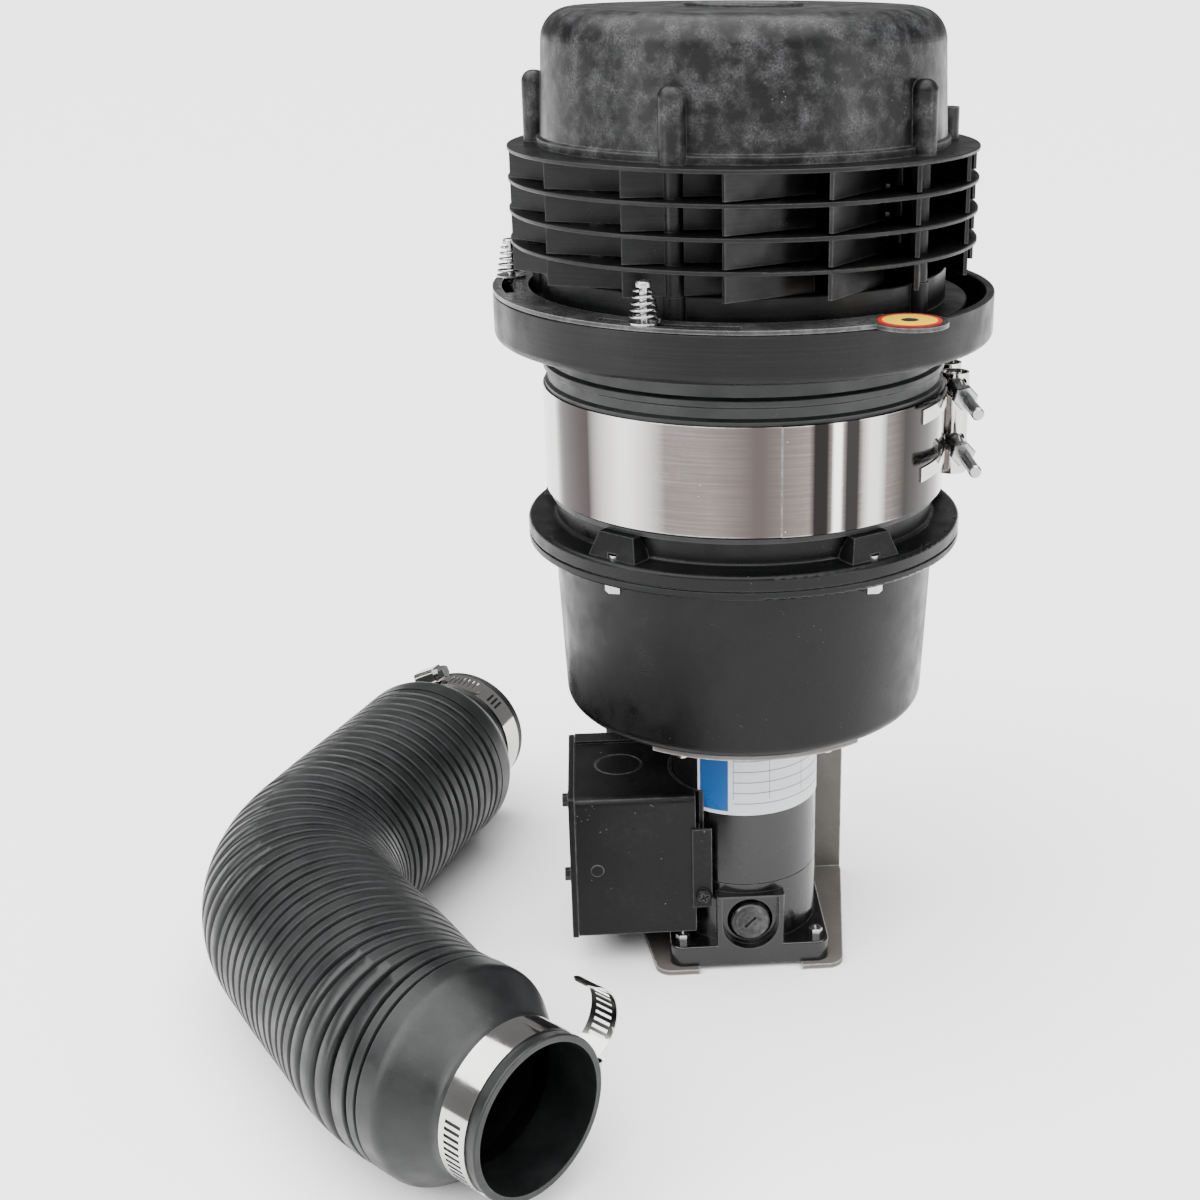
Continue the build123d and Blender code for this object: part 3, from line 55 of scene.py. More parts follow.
# %% [markdown]
# ## Camera
# The object is seen from a little above and almost straight from the front. A camera is
# placed by its position and two angles, and a small sideways shift frames the duct without
# turning the camera, so upright edges keep their slope.

# %% Camera
lens = bpy.data.cameras.new("view")
lens.lens = 53.4
lens.sensor_width = 36
lens.shift_x = -0.1205
camera = bpy.data.objects.new("view", lens)
camera.location = (-0.077, -0.885, 0.530)
camera.rotation_euler = (math.radians(69.6), 0, math.radians(-5))
bpy.context.scene.collection.objects.link(camera)
bpy.context.scene.camera = camera
print("camera at", tuple(camera.location))

# %% [markdown]
# ## Floor and light
# A product picture stands on pale paper. One wide plane is enough for that. The light is a
# bright even surround and large soft panels: dark paint and rubber show their shape only by
# what they mirror, so the panels are long and stand at both sides.

# %% Floor
def plain_paint(name, colour, roughness):
    """A material of one colour, for things outside the object."""
    made = bpy.data.materials.new(name)
    made.use_nodes = True
    shader = made.node_tree.nodes["Principled BSDF"]
    shader.inputs["Base Color"].default_value = (*colour, 1)
    shader.inputs["Roughness"].default_value = roughness
    return made


bpy.ops.object.select_all(action="DESELECT")
bpy.ops.mesh.primitive_plane_add(size=120, location=(0, 0, 0))
floor = bpy.context.object
floor.name = "paper_floor"
floor.data.materials.append(plain_paint("paper", (0.93, 0.93, 0.93), 0.9))

# %% Light
world = bpy.data.worlds.new("studio")
world.use_nodes = True
surround = world.node_tree.nodes["Background"]
surround.inputs["Color"].default_value = (1, 1, 1, 1)
surround.inputs["Strength"].default_value = 0.30
bpy.context.scene.world = world


def panel(name, place, aim, size, watts):
    """A soft rectangular light that points at a spot."""
    data = bpy.data.lights.new(name, "AREA")
    data.shape = "RECTANGLE"
    data.size, data.size_y = size
    data.energy = watts
    lamp = bpy.data.objects.new(name, data)
    lamp.location = place
    lamp.rotation_euler = (Vector(aim) - Vector(place)).to_track_quat("-Z", "Y").to_euler()
    bpy.context.scene.collection.objects.link(lamp)
    return lamp


panel("left_panel", (-1.5, -0.8, 0.8), (-0.05, 0, 0.28), (0.35, 1.5), 14)
panel("right_panel", (1.3, -0.9, 0.8), (0.05, 0, 0.28), (0.25, 1.4), 12)
sky = bpy.data.lights.new("soft_sky", "SUN")
sky.energy = 11.0
sky.angle = math.radians(100)
sky_lamp = bpy.data.objects.new("soft_sky", sky)
sky_lamp.rotation_euler = (math.radians(12), math.radians(-10), 0)
bpy.context.scene.collection.objects.link(sky_lamp)

# %% [markdown]
# ## Effects that several finishes share
# Edge wear, patches of dust and fine grain turn up on paint, plastic and steel alike, so each
# is a node group. A Bevel node rounds the normal near an edge; where it differs from the true
# normal, there is an edge. That works on any mesh, even one of loose triangles.

# %% Tools for node trees
def link_up(tree, node, **sources):
    """Set a node's inputs: a socket is linked, and anything else is its value."""
    for key, source in sources.items():
        by_number = key[0] == "i" and key[1:].isdigit()
        socket = node.inputs[int(key[1:]) if by_number else key.replace("_", " ")]
        if isinstance(source, bpy.types.NodeSocket):
            tree.links.new(source, socket)
        else:
            socket.default_value = source
    return node


def maths(tree, kind, first, second=0.0, third=0.0, clamp=False):
    """One Math node, and its result."""
    node = tree.nodes.new("ShaderNodeMath")
    node.operation = kind
    node.use_clamp = clamp
    link_up(tree, node, i0=first, i1=second, i2=third)
    return node.outputs[0]


def between(tree, value, low, high, to_low=0.0, to_high=1.0):
    """Map Range: value from low..high to to_low..to_high, clamped."""
    node = tree.nodes.new("ShaderNodeMapRange")
    link_up(tree, node, Value=value, From_Min=low, From_Max=high, To_Min=to_low, To_Max=to_high)
    return node.outputs[0]


def mixed(tree, share, first, second):
    """Mix of two colours."""
    node = tree.nodes.new("ShaderNodeMix")
    node.data_type = "RGBA"
    link_up(tree, node, i0=share, i6=first, i7=second)
    return node.outputs[2]


def new_group(name, inputs, outputs):
    """An empty node group with float inputs and outputs; returns tree, inputs and result node."""
    tree = bpy.data.node_groups.new(name, "ShaderNodeTree")
    for title, value in inputs.items():
        socket = tree.interface.new_socket(title, in_out="INPUT", socket_type="NodeSocketFloat")
        socket.default_value = value
    for title in outputs:
        tree.interface.new_socket(title, in_out="OUTPUT", socket_type="NodeSocketFloat")
    return tree, tree.nodes.new("NodeGroupInput"), tree.nodes.new("NodeGroupOutput")


def noise(tree, vector, scale, detail=4.0, roughness=0.55):
    """Noise texture on a vector, and its value."""
    node = tree.nodes.new("ShaderNodeTexNoise")
    link_up(tree, node, Vector=vector, Scale=scale, Detail=detail, Roughness=roughness)
    return node.outputs[0]


def object_place(tree, stretch=(1, 1, 1)):
    """Object coordinates, stretched by a Mapping node."""
    where = tree.nodes.new("ShaderNodeTexCoord")
    mapping = tree.nodes.new("ShaderNodeMapping")
    link_up(tree, mapping, Vector=where.outputs["Object"], Scale=stretch)
    return mapping.outputs[0]


# %% Edge wear
edge_wear, given, result = new_group("edge_wear", {"Width": 0.0012, "Break": 0.5}, ["Mask"])
rounded = edge_wear.nodes.new("ShaderNodeBevel")
rounded.samples = 4
edge_wear.links.new(given.outputs["Width"], rounded.inputs["Radius"])
true_normal = edge_wear.nodes.new("ShaderNodeNewGeometry").outputs["Normal"]
facing = edge_wear.nodes.new("ShaderNodeVectorMath")
facing.operation = "DOT_PRODUCT"
edge_wear.links.new(rounded.outputs[0], facing.inputs[0])
edge_wear.links.new(true_normal, facing.inputs[1])
turned = maths(edge_wear, "SUBTRACT", 1.0, facing.outputs["Value"])
bare = between(edge_wear, turned, 0.015, 0.16)
broken = between(edge_wear, noise(edge_wear, object_place(edge_wear), 260), 0.35, 0.65)
kept = maths(edge_wear, "MULTIPLY", broken, given.outputs["Break"])
whole = maths(edge_wear, "SUBTRACT", 1.0, given.outputs["Break"])
share = maths(edge_wear, "ADD", whole, kept)
edge_wear.links.new(maths(edge_wear, "MULTIPLY", bare, share), result.inputs[0])

# %% Dust in patches and specks
dust, given, result = new_group("dust", {"Scale": 30.0, "Amount": 0.5}, ["Mask", "Specks"])
spot = object_place(dust)
cloud = noise(dust, spot, given.outputs["Scale"], 6.0, 0.62)
fine = noise(dust, spot, maths(dust, "MULTIPLY", given.outputs["Scale"], 11.0), 3.0, 0.7)
patchy = maths(dust, "MULTIPLY", between(dust, cloud, 0.42, 0.72), between(dust, fine, 0.30, 0.75))
dust.links.new(maths(dust, "MULTIPLY", patchy, given.outputs["Amount"], clamp=True), result.inputs["Mask"])
dots = dust.nodes.new("ShaderNodeTexVoronoi")
link_up(dust, dots, Vector=spot, Scale=420.0)
dot = between(dust, dots.outputs["Distance"], 0.10, 0.16, 1.0, 0.0)
rare = between(dust, noise(dust, spot, 90.0), 0.60, 0.66)
dust.links.new(maths(dust, "MULTIPLY", dot, rare), result.inputs["Specks"])

# %% Fine streaks that run round a turned part
turned_streaks, given, result = new_group("turned_streaks", {"Fineness": 900.0}, ["Value"])
axes = turned_streaks.nodes.new("ShaderNodeSeparateXYZ")
here = turned_streaks.nodes.new("ShaderNodeTexCoord").outputs["Object"]
turned_streaks.links.new(here, axes.inputs[0])
bearing = maths(turned_streaks, "ARCTAN2", axes.outputs[1], axes.outputs[0])
along = turned_streaks.nodes.new("ShaderNodeCombineXYZ")
link_up(turned_streaks, along, i0=maths(turned_streaks, "MULTIPLY", bearing, 1.6),
        i1=maths(turned_streaks, "MULTIPLY", axes.outputs[2], given.outputs["Fineness"]))
turned_streaks.links.new(noise(turned_streaks, along.outputs[0], 1.0, 3.0, 0.6), result.inputs[0])
print("groups", [g.name for g in bpy.data.node_groups])

# %% [markdown]
# ## Finishes
# One builder makes them all, from a base colour to which edges, dust and specks are added, and
# a grain that lifts the surface a little. What differs is only the numbers: moulded plastic is
# dull with worn light edges, paint is smoother, zinc is metallic and cool.

# %% The finish builder
def placed(tree, group, **values):
    """Put a node group in a tree with its own values."""
    node = tree.nodes.new("ShaderNodeGroup")
    node.node_tree = group
    return link_up(tree, node, **values)


def finish_of(name, colour, roughness, metallic=0.0, edge=(0.5, 0.5, 0.5), edge_share=0.5, width=0.0010,
              dirt=(0.4, 0.4, 0.4), dirt_share=0.3, dirt_scale=30.0, grain=900.0, lift=0.00006, spread=0.12,
              specks=0.0, coat=0.0, streaks=0.0, specular=0.28):
    """A worn, slightly dusty finish."""
    made = bpy.data.materials.new(name)
    made.use_nodes = True
    tree = made.node_tree
    shader = tree.nodes["Principled BSDF"]
    shader.inputs["Coat Weight"].default_value = coat
    shader.inputs["Specular IOR Level"].default_value = specular
    shader.inputs["Coat Roughness"].default_value = 0.12
    worn = placed(tree, edge_wear, Width=width, Break=0.6).outputs["Mask"]
    dusty = placed(tree, dust, Scale=dirt_scale, Amount=1.0)
    shade = noise(tree, object_place(tree), 14.0, 3.0)
    darker = (*[c * 0.86 for c in colour], 1)
    lighter = (*[min(c * 1.14, 1) for c in colour], 1)
    tone = mixed(tree, between(tree, shade, 0.3, 0.7), darker, lighter)
    dirtied = mixed(tree, maths(tree, "MULTIPLY", dusty.outputs["Mask"], dirt_share), tone, (*dirt, 1))
    speckled = mixed(tree, maths(tree, "MULTIPLY", dusty.outputs["Specks"], specks), dirtied, (*dirt, 1))
    edged = mixed(tree, maths(tree, "MULTIPLY", worn, edge_share), speckled, (*edge, 1))
    mottle = noise(tree, object_place(tree), 60.0, 5.0)
    rough = between(tree, mottle, 0.3, 0.7, roughness - spread, roughness + spread)
    height = noise(tree, object_place(tree), grain, 3.0, 0.6)
    if streaks:
        ring = placed(tree, turned_streaks, Fineness=900.0).outputs[0]
        height = maths(tree, "ADD", height, maths(tree, "MULTIPLY", ring, streaks))
        edged = mixed(tree, between(tree, ring, 0.45, 0.85, 0.0, 0.10), edged, (*dirt, 1))
    bump = tree.nodes.new("ShaderNodeBump")
    link_up(tree, bump, Strength=1.0, Distance=lift, Height=height)
    link_up(tree, shader, Base_Color=edged, Roughness=rough, Metallic=metallic, Normal=bump.outputs[0])
    return made


# %% Paints, plastics and metals
finishes = {
    "head_plastic": finish_of(
        "head_plastic", (0.0020, 0.0021, 0.0023), 0.38, edge=(0.12, 0.12, 0.12), edge_share=0.45,
        dirt=(0.06, 0.06, 0.06), dirt_share=0.08, specks=0.5, streaks=0.5, specular=0.18,
    ),
    "bowl_paint": finish_of(
        "bowl_paint", (0.0018, 0.0019, 0.0021), 0.34, edge=(0.14, 0.14, 0.14), edge_share=0.4,
        dirt=(0.06, 0.06, 0.06), dirt_share=0.06, specks=0.6, lift=0.00006, specular=0.18,
    ),
    "motor_paint": finish_of(
        "motor_paint", (0.0018, 0.0018, 0.0020), 0.22, edge=(0.18, 0.18, 0.18), edge_share=0.3,
        dirt=(0.10, 0.10, 0.10), dirt_share=0.06, lift=0.00003, coat=0.2, specular=0.4,
    ),
    "bracket_paint": finish_of(
        "bracket_paint", (0.105, 0.096, 0.088), 0.42, 0.35, edge=(0.62, 0.62, 0.60), edge_share=0.9,
        width=0.0014, dirt=(0.20, 0.19, 0.18), dirt_share=0.45, dirt_scale=45.0,
    ),
    "box_coat": finish_of(
        "box_coat", (0.0020, 0.0020, 0.0022), 0.38, edge=(0.22, 0.22, 0.22), edge_share=0.5,
        dirt=(0.20, 0.20, 0.20), dirt_share=0.04, specks=0.8, grain=1500.0, lift=0.0001, specular=0.18,
    ),
    "stainless": finish_of(
        "stainless", (0.52, 0.51, 0.49), 0.09, 1.0, edge=(0.85, 0.85, 0.85), edge_share=0.7,
        dirt=(0.25, 0.24, 0.23), dirt_share=0.15, specks=0.8, lift=0.000006, spread=0.04, streaks=0.4,
    ),
    "zinc": finish_of(
        "zinc", (0.40, 0.40, 0.41), 0.24, 1.0, edge=(0.85, 0.85, 0.86), edge_share=0.6, width=0.0006,
        dirt=(0.22, 0.22, 0.22), dirt_share=0.5, dirt_scale=80.0, lift=0.00003, spread=0.10,
    ),
    "rubber": finish_of(
        "rubber", (0.0036, 0.0040, 0.0042), 0.42, edge=(0.10, 0.105, 0.11), edge_share=0.35,
        dirt=(0.07, 0.073, 0.076), dirt_share=0.12, dirt_scale=22.0, lift=0.00006, specks=0.4,
        specular=0.35,
    ),
    "bakelite": finish_of("bakelite", (0.005, 0.005, 0.0048), 0.30, edge=(0.20, 0.20, 0.20), edge_share=0.4),
    "carbon": finish_of("carbon", (0.02, 0.02, 0.02), 0.6),
    "copper": finish_of("copper", (0.72, 0.30, 0.16), 0.35, 1.0, dirt_share=0.4),
    "bronze": finish_of("bronze", (0.50, 0.34, 0.16), 0.42, 1.0, dirt_share=0.4),
    "core_steel": finish_of("core_steel", (0.30, 0.30, 0.31), 0.40, 1.0),
    "magnet": finish_of("magnet", (0.05, 0.05, 0.052), 0.6),
    "wheel_alloy": finish_of("wheel_alloy", (0.62, 0.63, 0.64), 0.40, 1.0, lift=0.0001),
    "bearing_steel": finish_of("bearing_steel", (0.60, 0.60, 0.61), 0.16, 1.0),
}
print(len(finishes), "finishes")

# %% [markdown]
# ## Finishes with a pattern
# The dome is scuffed plastic, with a raised disc that carries a ring of plain tick marks. The
# motor's plate and the round label are print, so their fields are masks made of coordinates:
# an angle and a height round the motor, and a distance from the label's own centre.

# %% Masks from coordinates
def stripe(tree, value, low, high, soft=0.0002):
    """1 where value lies between low and high."""
    rise = between(tree, value, low - soft, low + soft)
    fall = between(tree, value, high - soft, high + soft, 1.0, 0.0)
    return maths(tree, "MULTIPLY", rise, fall)


def polar(tree, centre=(0, 0, 0)):
    """Angle, radius and height about an upright axis, from Object coordinates."""
    where = tree.nodes.new("ShaderNodeTexCoord").outputs["Object"]
    mapping = tree.nodes.new("ShaderNodeMapping")
    link_up(tree, mapping, Vector=where, Location=[-c for c in centre])
    parts = tree.nodes.new("ShaderNodeSeparateXYZ")
    tree.links.new(mapping.outputs[0], parts.inputs[0])
    x, y, z = parts.outputs
    angle = maths(tree, "ARCTAN2", y, x)
    x_squared = maths(tree, "MULTIPLY", x, x)
    y_squared = maths(tree, "MULTIPLY", y, y)
    radius = maths(tree, "SQRT", maths(tree, "ADD", x_squared, y_squared))
    return angle, radius, z


def over(material, share, colour, roughness=None):
    """Lay a colour over a finished material, where share says."""
    tree = material.node_tree
    shader = tree.nodes["Principled BSDF"]
    below = shader.inputs["Base Color"].links[0].from_socket
    tree.links.new(mixed(tree, share, below, (*colour, 1)), shader.inputs["Base Color"])
    return material


# %% Dome
DISC_BASE_Z = 0.5005       # the raised disc is all that lies above this
TICKS = 40
dome = finish_of(
    "dome_plastic", (0.0030, 0.0031, 0.0034), 0.38, edge=(0.20, 0.20, 0.20), edge_share=0.45,
    width=0.0012, dirt=(0.15, 0.15, 0.155), dirt_share=0.55, dirt_scale=95.0, specks=0.7, lift=0.0001,
    specular=0.2,
)
tree = dome.node_tree
angle, radius, height = polar(tree)
teeth = maths(tree, "FRACT", maths(tree, "MULTIPLY", angle, TICKS / (2 * math.pi)))
tooth_mask = stripe(tree, teeth, 0.30, 0.62, 0.04)
ring_of_ticks = maths(tree, "MULTIPLY", tooth_mask, stripe(tree, radius, 0.0212, 0.0240))
top_only = maths(tree, "GREATER_THAN", height, DISC_BASE_Z)
ticks = maths(tree, "MULTIPLY", ring_of_ticks, top_only)
over(dome, maths(tree, "MULTIPLY", ticks, 0.55), (0.30, 0.30, 0.30))
inner_disc = maths(tree, "MULTIPLY", stripe(tree, radius, -1.0, 0.0175), top_only)
over(dome, maths(tree, "MULTIPLY", inner_disc, 0.35), (0.12, 0.12, 0.12))
finishes["dome_plastic"] = dome

# %% Wide band: steel with painted reflections
# The room's reflections in the bright turned band are painted into its colour as upright stripes, dark and light
# by turns.
band = finish_of(
    "band_steel_painted_reflections", (0.11, 0.095, 0.09), 0.10, 1.0, edge=(0.85, 0.85, 0.85), edge_share=0.7,
    dirt=(0.75, 0.70, 0.66), dirt_share=0.05, specks=0.9, lift=0.000005, spread=0.03, streaks=0.3,
)
tree = band.node_tree
angle, radius, height = polar(tree)
degrees = maths(tree, "MULTIPLY", angle, 180 / math.pi)
# Painted reflections: each row below is a dark or light mirror image of the room, laid over the steel's colour.
painted_reflection_bars = (                    # bearings in degrees, softness of the edge, colour
    (-175, -158, 2.0, (0.60, 0.59, 0.58)),
    (-157, -139, 3.0, (0.035, 0.027, 0.027)),
    (-136, -122, 6.0, (0.55, 0.53, 0.52)),
    (-98, -84, 6.0, (0.06, 0.05, 0.047)),
    (-77, -72, 0.8, (0.015, 0.013, 0.013)),
    (-71, -68.5, 0.5, (0.75, 0.74, 0.73)),
    (-67.5, -63, 0.6, (0.02, 0.018, 0.018)),
    (-61, -55, 1.5, (0.50, 0.49, 0.48)),
    (-50, -30, 4.0, (0.02, 0.017, 0.016)),
    (-24, -8, 3.0, (0.50, 0.49, 0.48)),
)
for first, last, soft, colour in painted_reflection_bars:
    over(band, stripe(tree, degrees, first, last, soft), colour)

# %% Motor plate
low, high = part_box("name_plate")
plate = finish_of(
    "plate_print", (0.62, 0.64, 0.66), 0.34, edge=(0.8, 0.8, 0.8), edge_share=0.2, dirt=(0.4, 0.4, 0.4),
    dirt_share=0.25, lift=0.00002,
)
tree = plate.node_tree
angle, radius, height = polar(tree)
turn = maths(tree, "ADD", angle, math.radians(95))
left = math.radians(-38)
INK = (0.05, 0.08, 0.12)
blue_run = stripe(tree, turn, left + 0.04, math.radians(-12), 0.004)
blue = maths(tree, "MULTIPLY", blue_run, stripe(tree, height, low.z + 0.002, high.z - 0.002))
over(plate, blue, (0.010, 0.07, 0.24))


def ink_line(across, along):
    """Print a thin line where two masks meet."""
    over(plate, maths(tree, "MULTIPLY", maths(tree, "MULTIPLY", across, along), 0.8), INK)


for row in range(7):
    level = high.z - 0.010 - row * 0.0062
    rule = stripe(tree, height, level - 0.0003, level + 0.0003, 0.0001)
    ink_line(rule, stripe(tree, turn, math.radians(-8), math.radians(78), 0.004))
for column in (-8, 20, 50, 78):
    bearing = math.radians(column)
    line = stripe(tree, turn, bearing - 0.005, bearing + 0.005, 0.003)
    ink_line(line, stripe(tree, height, low.z + 0.009, high.z - 0.010))
finishes["plate_print"] = plate

# %% Round label on the shutter's tab
low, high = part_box("shutter_label")
label = finish_of(
    "label_print", (0.62, 0.40, 0.01), 0.40, edge_share=0.0, dirt=(0.45, 0.38, 0.15), dirt_share=0.2,
    lift=0.00002,
)
tree = label.node_tree
angle, radius, height = polar(tree, ((low.x + high.x) / 2, (low.y + high.y) / 2, 0))
over(label, stripe(tree, radius, 0.0125, 0.0150), (0.42, 0.01, 0.008))
over(label, stripe(tree, radius, -1.0, 0.0040), (0.02, 0.02, 0.02))
finishes["label_print"] = label

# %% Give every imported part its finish
for part in frame["record"]["subparts"]:
    piece = nodes[part["node"]]
    piece.data.materials.clear()
    piece.data.materials.append(finishes[part["material_slot"]])
# The wide band takes the steel with painted reflections.
nodes["band_clamp"].data.materials[0] = band
shutter_steel = finish_of(
    "shutter_steel", (0.02, 0.02, 0.02), 0.30, 0.3, edge=(0.5, 0.5, 0.5), edge_share=0.3,
)
nodes["shutter_plate"].data.materials[0] = shutter_steel

# %% [markdown]
# ## The ribbed duct
# The duct is thick moulded rubber: wide flat ribs with narrow, uneven grooves. Ribs could be
# painted on a tube as a bump, but then its outline would stay smooth. So a short stretch of
# ribs is drawn as a tube that is extruded ring by ring, repeated along a straight line with
# Array, and bent along the duct's route with a Curve modifier.

# %% Helpers for modelling by hand
def start(name):
    """Nothing selected, so that an operator acts on the new piece alone."""
    if bpy.context.object and bpy.context.object.mode != "OBJECT":
        bpy.ops.object.mode_set(mode="OBJECT")
    bpy.ops.object.select_all(action="DESELECT")
    print("modelling", name)


def done(piece, name, body, slot, material, *stands_for):
    """Name a finished piece, bake its place into its mesh, give it its material and hang it on its body."""
    start(name)
    piece.name = name
    piece.select_set(True)
    bpy.context.view_layer.objects.active = piece
    bpy.ops.object.transform_apply(location=True, rotation=True, scale=True)
    piece.data.materials.clear()
    piece.data.materials.append(material)
    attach(piece, body)
    if stands_for:
        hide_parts(*stands_for)
    print(name, len(piece.data.polygons), "faces")
    return piece


def apply_all(piece):
    """Apply every modifier, in order."""
    bpy.context.view_layer.objects.active = piece
    for name in [m.name for m in piece.modifiers]:
        bpy.ops.object.modifier_apply(modifier=name)


# %% The duct's route
mid_z = (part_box("duct_hose")[0].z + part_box("duct_hose")[1].z) / 2
corners = [(-0.1515, -0.1963), (-0.1700, -0.1780), (-0.2487, -0.0352), (-0.1863, 0.1185)]
bend = 0.103
route = [Vector((x, y, mid_z)) for x, y in corners]
bpy.ops.object.select_all(action="DESELECT")
line = bpy.data.curves.new("duct_route", "CURVE")
line.dimensions = "3D"
line.resolution_u = 32
spline = line.splines.new("BEZIER")
stops = [(route[0], None, None)]     # place, handle back, handle ahead
for before, corner, after in zip(route, route[1:], route[2:]):
    arrive = (corner - before).normalized()
    leave = (after - corner).normalized()
    turn = arrive.angle(leave)
    reach = bend * math.tan(turn / 2)
    handle = bend * 4 / 3 * math.tan(turn / 4)
    stops.append((corner - arrive * reach, None, arrive * handle))
    stops.append((corner + leave * reach, -leave * handle, None))
stops.append((route[-1], None, None))
spline.bezier_points.add(len(stops) - 1)
for number, (point, (place, back, ahead)) in enumerate(zip(spline.bezier_points, stops)):
    point.co = place
    point.handle_left_type = point.handle_right_type = "FREE"
    previous = stops[max(number - 1, 0)][0]
    following = stops[min(number + 1, len(stops) - 1)][0]
    point.handle_left = place + back if back else place.lerp(previous, 1 / 3)
    point.handle_right = place + ahead if ahead else place.lerp(following, 1 / 3)
rail = bpy.data.objects.new("duct_route", line)
bpy.context.scene.collection.objects.link(rail)
duct_length = spline.calc_length()
print("ribbed length", round(duct_length, 4))

# %% A short stretch of ribs
crest, root = 0.0517, 0.0476
stretch = [(5.4, 1.3), (6.6, 1.1), (5.9, 1.6), (7.2, 1.2), (5.2, 1.0), (6.5, 1.5)]    # rib and groove, mm
pitch = sum(rib + groove + 1.0 for rib, groove in stretch) / 1000
repeats = round(duct_length / pitch)
fit = duct_length / (pitch * repeats)
start("duct ribs")
bpy.ops.mesh.primitive_circle_add(vertices=88, radius=root, fill_type="NOTHING", rotation=(0, math.radians(90), 0))
ribs = bpy.context.object
bpy.ops.object.transform_apply(location=False, rotation=True, scale=False)
bpy.ops.object.mode_set(mode="EDIT")
bpy.ops.mesh.select_all(action="SELECT")
reached = [0.0, root]


def next_ring(step, radius):
    """Extrude the selected ring along X, by millimetres, and give it a new radius."""
    step = step / 1000 * fit
    bpy.ops.mesh.extrude_edges_move(TRANSFORM_OT_translate={"value": (step, 0, 0)})
    reached[0] += step
    factor = radius / reached[1]
    bpy.ops.transform.resize(value=(1, factor, factor), center_override=(reached[0], 0, 0))
    reached[1] = radius


for rib, groove in stretch:
    next_ring(groove, root)
    next_ring(0.5, crest - 0.0008)
    next_ring(0.6, crest)
    next_ring(rib - 1.2, crest)
    next_ring(0.6, crest - 0.0008)
    next_ring(0.5, root)
bpy.ops.object.mode_set(mode="OBJECT")
print("stretch", round(reached[0] * 1000, 2), "mm, repeats", repeats)

# %% Repeat it, bend it, and give it a wall
row = ribs.modifiers.new("row", "ARRAY")
row.count = repeats
row.use_relative_offset = False
row.use_constant_offset = True
row.constant_offset_displace = (reached[0], 0, 0)
row.use_merge_vertices = True
row.merge_threshold = 0.0001
follow = ribs.modifiers.new("follow", "CURVE")
follow.object = rail
follow.deform_axis = "POS_X"
apply_all(ribs)
bpy.ops.object.mode_set(mode="EDIT")
bpy.ops.mesh.select_all(action="SELECT")
bpy.ops.mesh.remove_doubles(threshold=0.00005)
bpy.ops.mesh.normals_make_consistent(inside=False)
bpy.ops.object.mode_set(mode="OBJECT")
slack = bpy.data.textures.new("duct_slack", "CLOUDS")
slack.noise_scale = 0.045
uneven = ribs.modifiers.new("uneven", "DISPLACE")
uneven.texture = slack
uneven.texture_coords = "LOCAL"
uneven.strength = 0.0010
uneven.mid_level = 0.62
wall = ribs.modifiers.new("wall", "SOLIDIFY")
wall.thickness = 0.0032
wall.offset = -1
apply_all(ribs)
start("duct")
ribs.select_set(True)
bpy.context.view_layer.objects.active = ribs
bpy.ops.object.shade_smooth_by_angle(angle=math.radians(50))
bpy.data.objects.remove(rail)
done(ribs, "ribbed_duct", "duct", "rubber", finishes["rubber"], "duct_hose")

# %% [markdown]
# ## Slotted clamp strips
# A worm-drive clamp is a thin stainless strip whose slots the screw bites into. The strip is
# an upright edge that Spin sweeps round the cuff in small steps. Every second face of the
# middle rows is then taken out as a slot, and Solidify gives the steel its thickness.

# %% One strip
def ends_of(root_xy, out_xy):
    """Matrix of a cuff's own frame: X to its side, Z out of its mouth."""
    out = Vector((*out_xy, 0)).normalized()
    side = Vector((-out.y, out.x, 0))
    up = Vector((0, 0, 1))
    frame_of = Matrix((side, up, out)).transposed().to_4x4()
    frame_of.translation = Vector((*root_xy, mid_z))
    return frame_of


cuff_frames = {
    "near": ends_of((-0.1515, -0.1963), (0.0185, -0.0183)),
    "far": ends_of((-0.1863, 0.1185), (0.0624, 0.1537)),
}
strip_low, strip_width = 0.0380, 0.0159


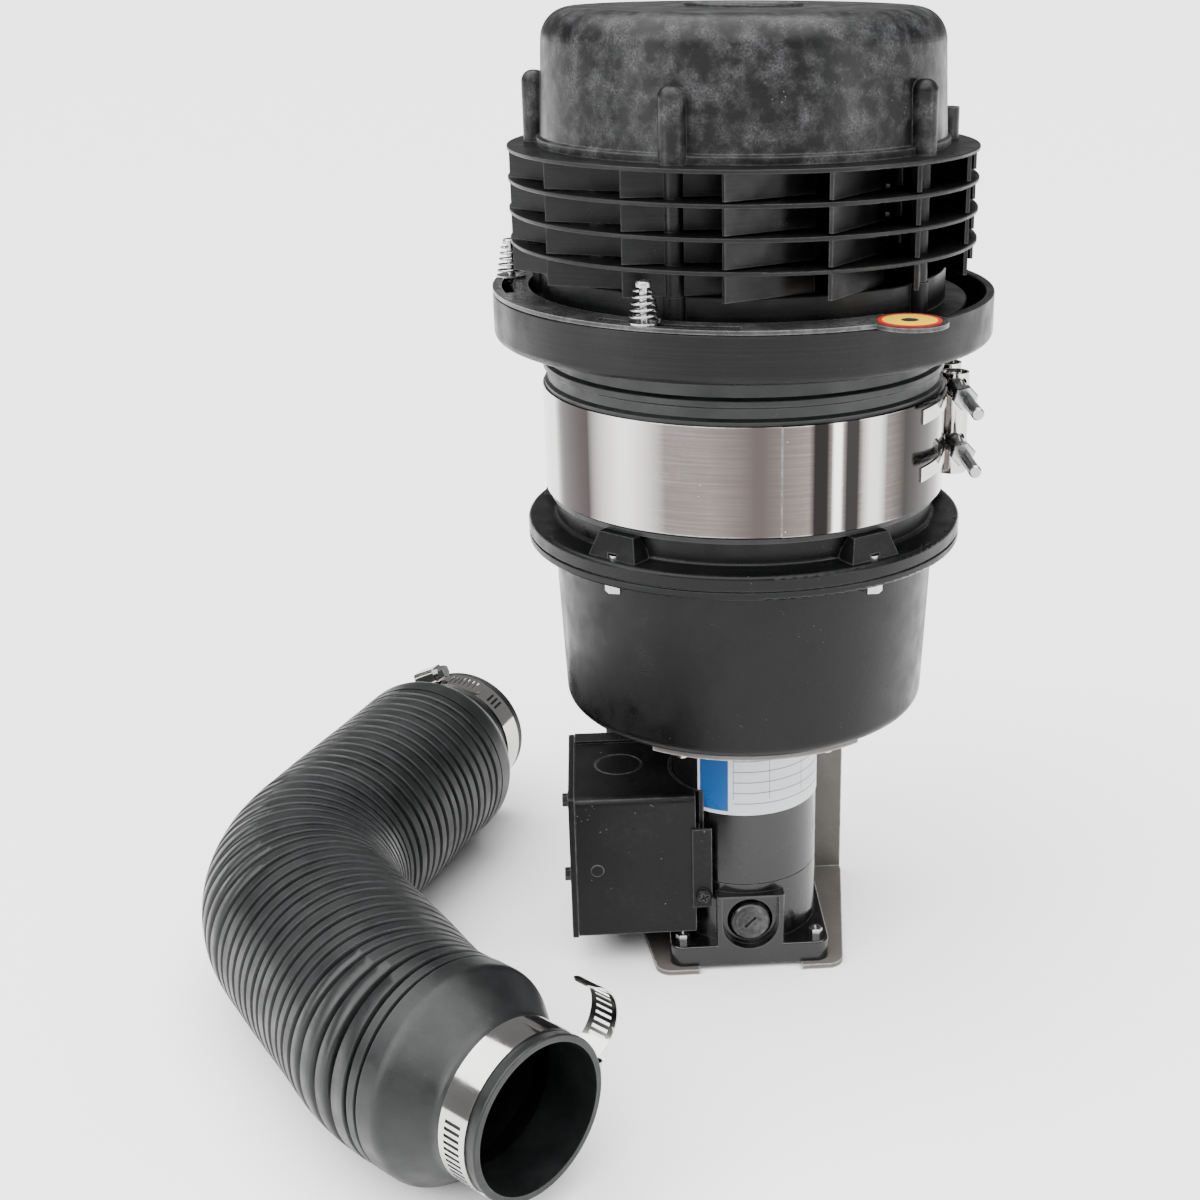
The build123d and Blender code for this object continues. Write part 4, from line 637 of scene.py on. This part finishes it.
def curved_strip(name, centre, radius, angle_from, angle_to, slots=None, round_end=False, steps_per_turn=150):
    """A strip of clamp band on a cuff's own axis; slots are given as two angles."""
    start(name)
    middle = strip_low + strip_width / 2
    turn = math.radians(angle_to - angle_from)
    first = math.radians(angle_from)
    outside = radius + strip_width / 2
    spot = (centre[0] + outside * math.cos(first), centre[1] + outside * math.sin(first), middle)
    upright = (math.radians(90), 0, first)
    bpy.ops.mesh.primitive_plane_add(size=strip_width, location=spot, rotation=upright)
    strip = bpy.context.object
    bpy.ops.object.transform_apply(location=True, rotation=True, scale=True)
    axis = Vector((centre[0], centre[1]))
    bpy.ops.object.mode_set(mode="EDIT")
    bpy.ops.mesh.select_mode(type="VERT")
    bpy.ops.mesh.select_all(action="DESELECT")
    bpy.ops.object.mode_set(mode="OBJECT")
    for vertex in strip.data.vertices:
        vertex.select = (vertex.co.xy - axis).length > radius + strip_width / 2
    bpy.ops.object.mode_set(mode="EDIT")
    bpy.ops.mesh.delete(type="VERT")
    bpy.ops.mesh.select_all(action="SELECT")
    bpy.ops.mesh.subdivide(number_cuts=4)
    bpy.ops.mesh.select_all(action="SELECT")
    steps = max(4, round(steps_per_turn * abs(turn) / (2 * math.pi) * radius / 0.0377))
    bpy.ops.mesh.spin(steps=steps, angle=-turn, center=(centre[0], centre[1], middle), axis=(0, 0, 1))
    bpy.ops.mesh.select_all(action="SELECT")
    bpy.ops.mesh.remove_doubles(threshold=0.00002)
    bpy.ops.mesh.normals_make_consistent(inside=False)
    bpy.ops.mesh.select_mode(type="FACE")
    bpy.ops.mesh.select_all(action="DESELECT")
    bpy.ops.object.mode_set(mode="OBJECT")
    if slots:
        step = turn / steps
        for face in strip.data.polygons:
            ahead = math.atan2(face.center.y - centre[1], face.center.x - centre[0]) - first
            number = math.floor((ahead % (2 * math.pi)) / step)
            here = angle_from + math.degrees((number + 0.5) * step)
            middle_rows = abs(face.center.z - middle) < strip_width * 0.31
            face.select = middle_rows and number % 2 == 0 and slots[0] < here < slots[1]
        bpy.ops.object.mode_set(mode="EDIT")
        bpy.ops.mesh.delete(type="FACE")
        bpy.ops.object.mode_set(mode="OBJECT")
    if round_end:
        for vertex in strip.data.vertices:
            ahead = (math.atan2(vertex.co.y - centre[1], vertex.co.x - centre[0]) - first) % (2 * math.pi)
            back = (turn - ahead) * radius
            limit = strip_width / 2
            if -0.0001 < back < limit * 0.7:
                allowed = limit * (0.45 + 0.55 * math.sqrt(max(0.0, 1 - (1 - back / (limit * 0.7)) ** 2)))
                vertex.co.z = middle + max(-allowed, min(allowed, vertex.co.z - middle))
    return strip


def thicken(strip, thickness):
    """Wall thickness, outward."""
    wall = strip.modifiers.new("steel", "SOLIDIFY")
    wall.thickness = thickness
    wall.offset = 1
    apply_all(strip)


# %% Both clamps
strips = []
clamp_pieces = {             # kind, centre, radius, bearings of the strip and of its slots, rounded end
    "near": [
        ("ring", (0, 0), 0.03775, 3.0, 363.0, (160.0, 318.0), False),
        ("tail", (0.0369, 0.0240), 0.0182, -88.0, 76.0, (-48.0, 62.0), True),
    ],
    "far": [
        ("ring", (0, 0), 0.03775, 3.0, 363.0, (125.0, 140.0), False),
        ("tail", (0, 0), 0.03855, 82.0, 119.0, (84.0, 113.0), True),
    ],
}
for end, bits in clamp_pieces.items():
    for kind, centre, radius, first, last, slots, tip in bits:
        strip = curved_strip(f"{end} {kind}", centre, radius, first, last, slots, tip)
        thicken(strip, 0.0007)
        print(end, kind, len(strip.data.polygons), "faces")
        strip.data.transform(cuff_frames[end])
        strips.append(strip)
start("clamps")
for strip in strips:
    strip.select_set(True)
bpy.context.view_layer.objects.active = strips[0]
bpy.ops.object.join()
bpy.ops.object.shade_smooth_by_angle(angle=math.radians(35))
done(strips[0], "slotted_clamp_strips", "duct", "stainless", finishes["stainless"], "clamp_bands")

# %% Leave nothing selected
bpy.ops.object.select_all(action="DESELECT")
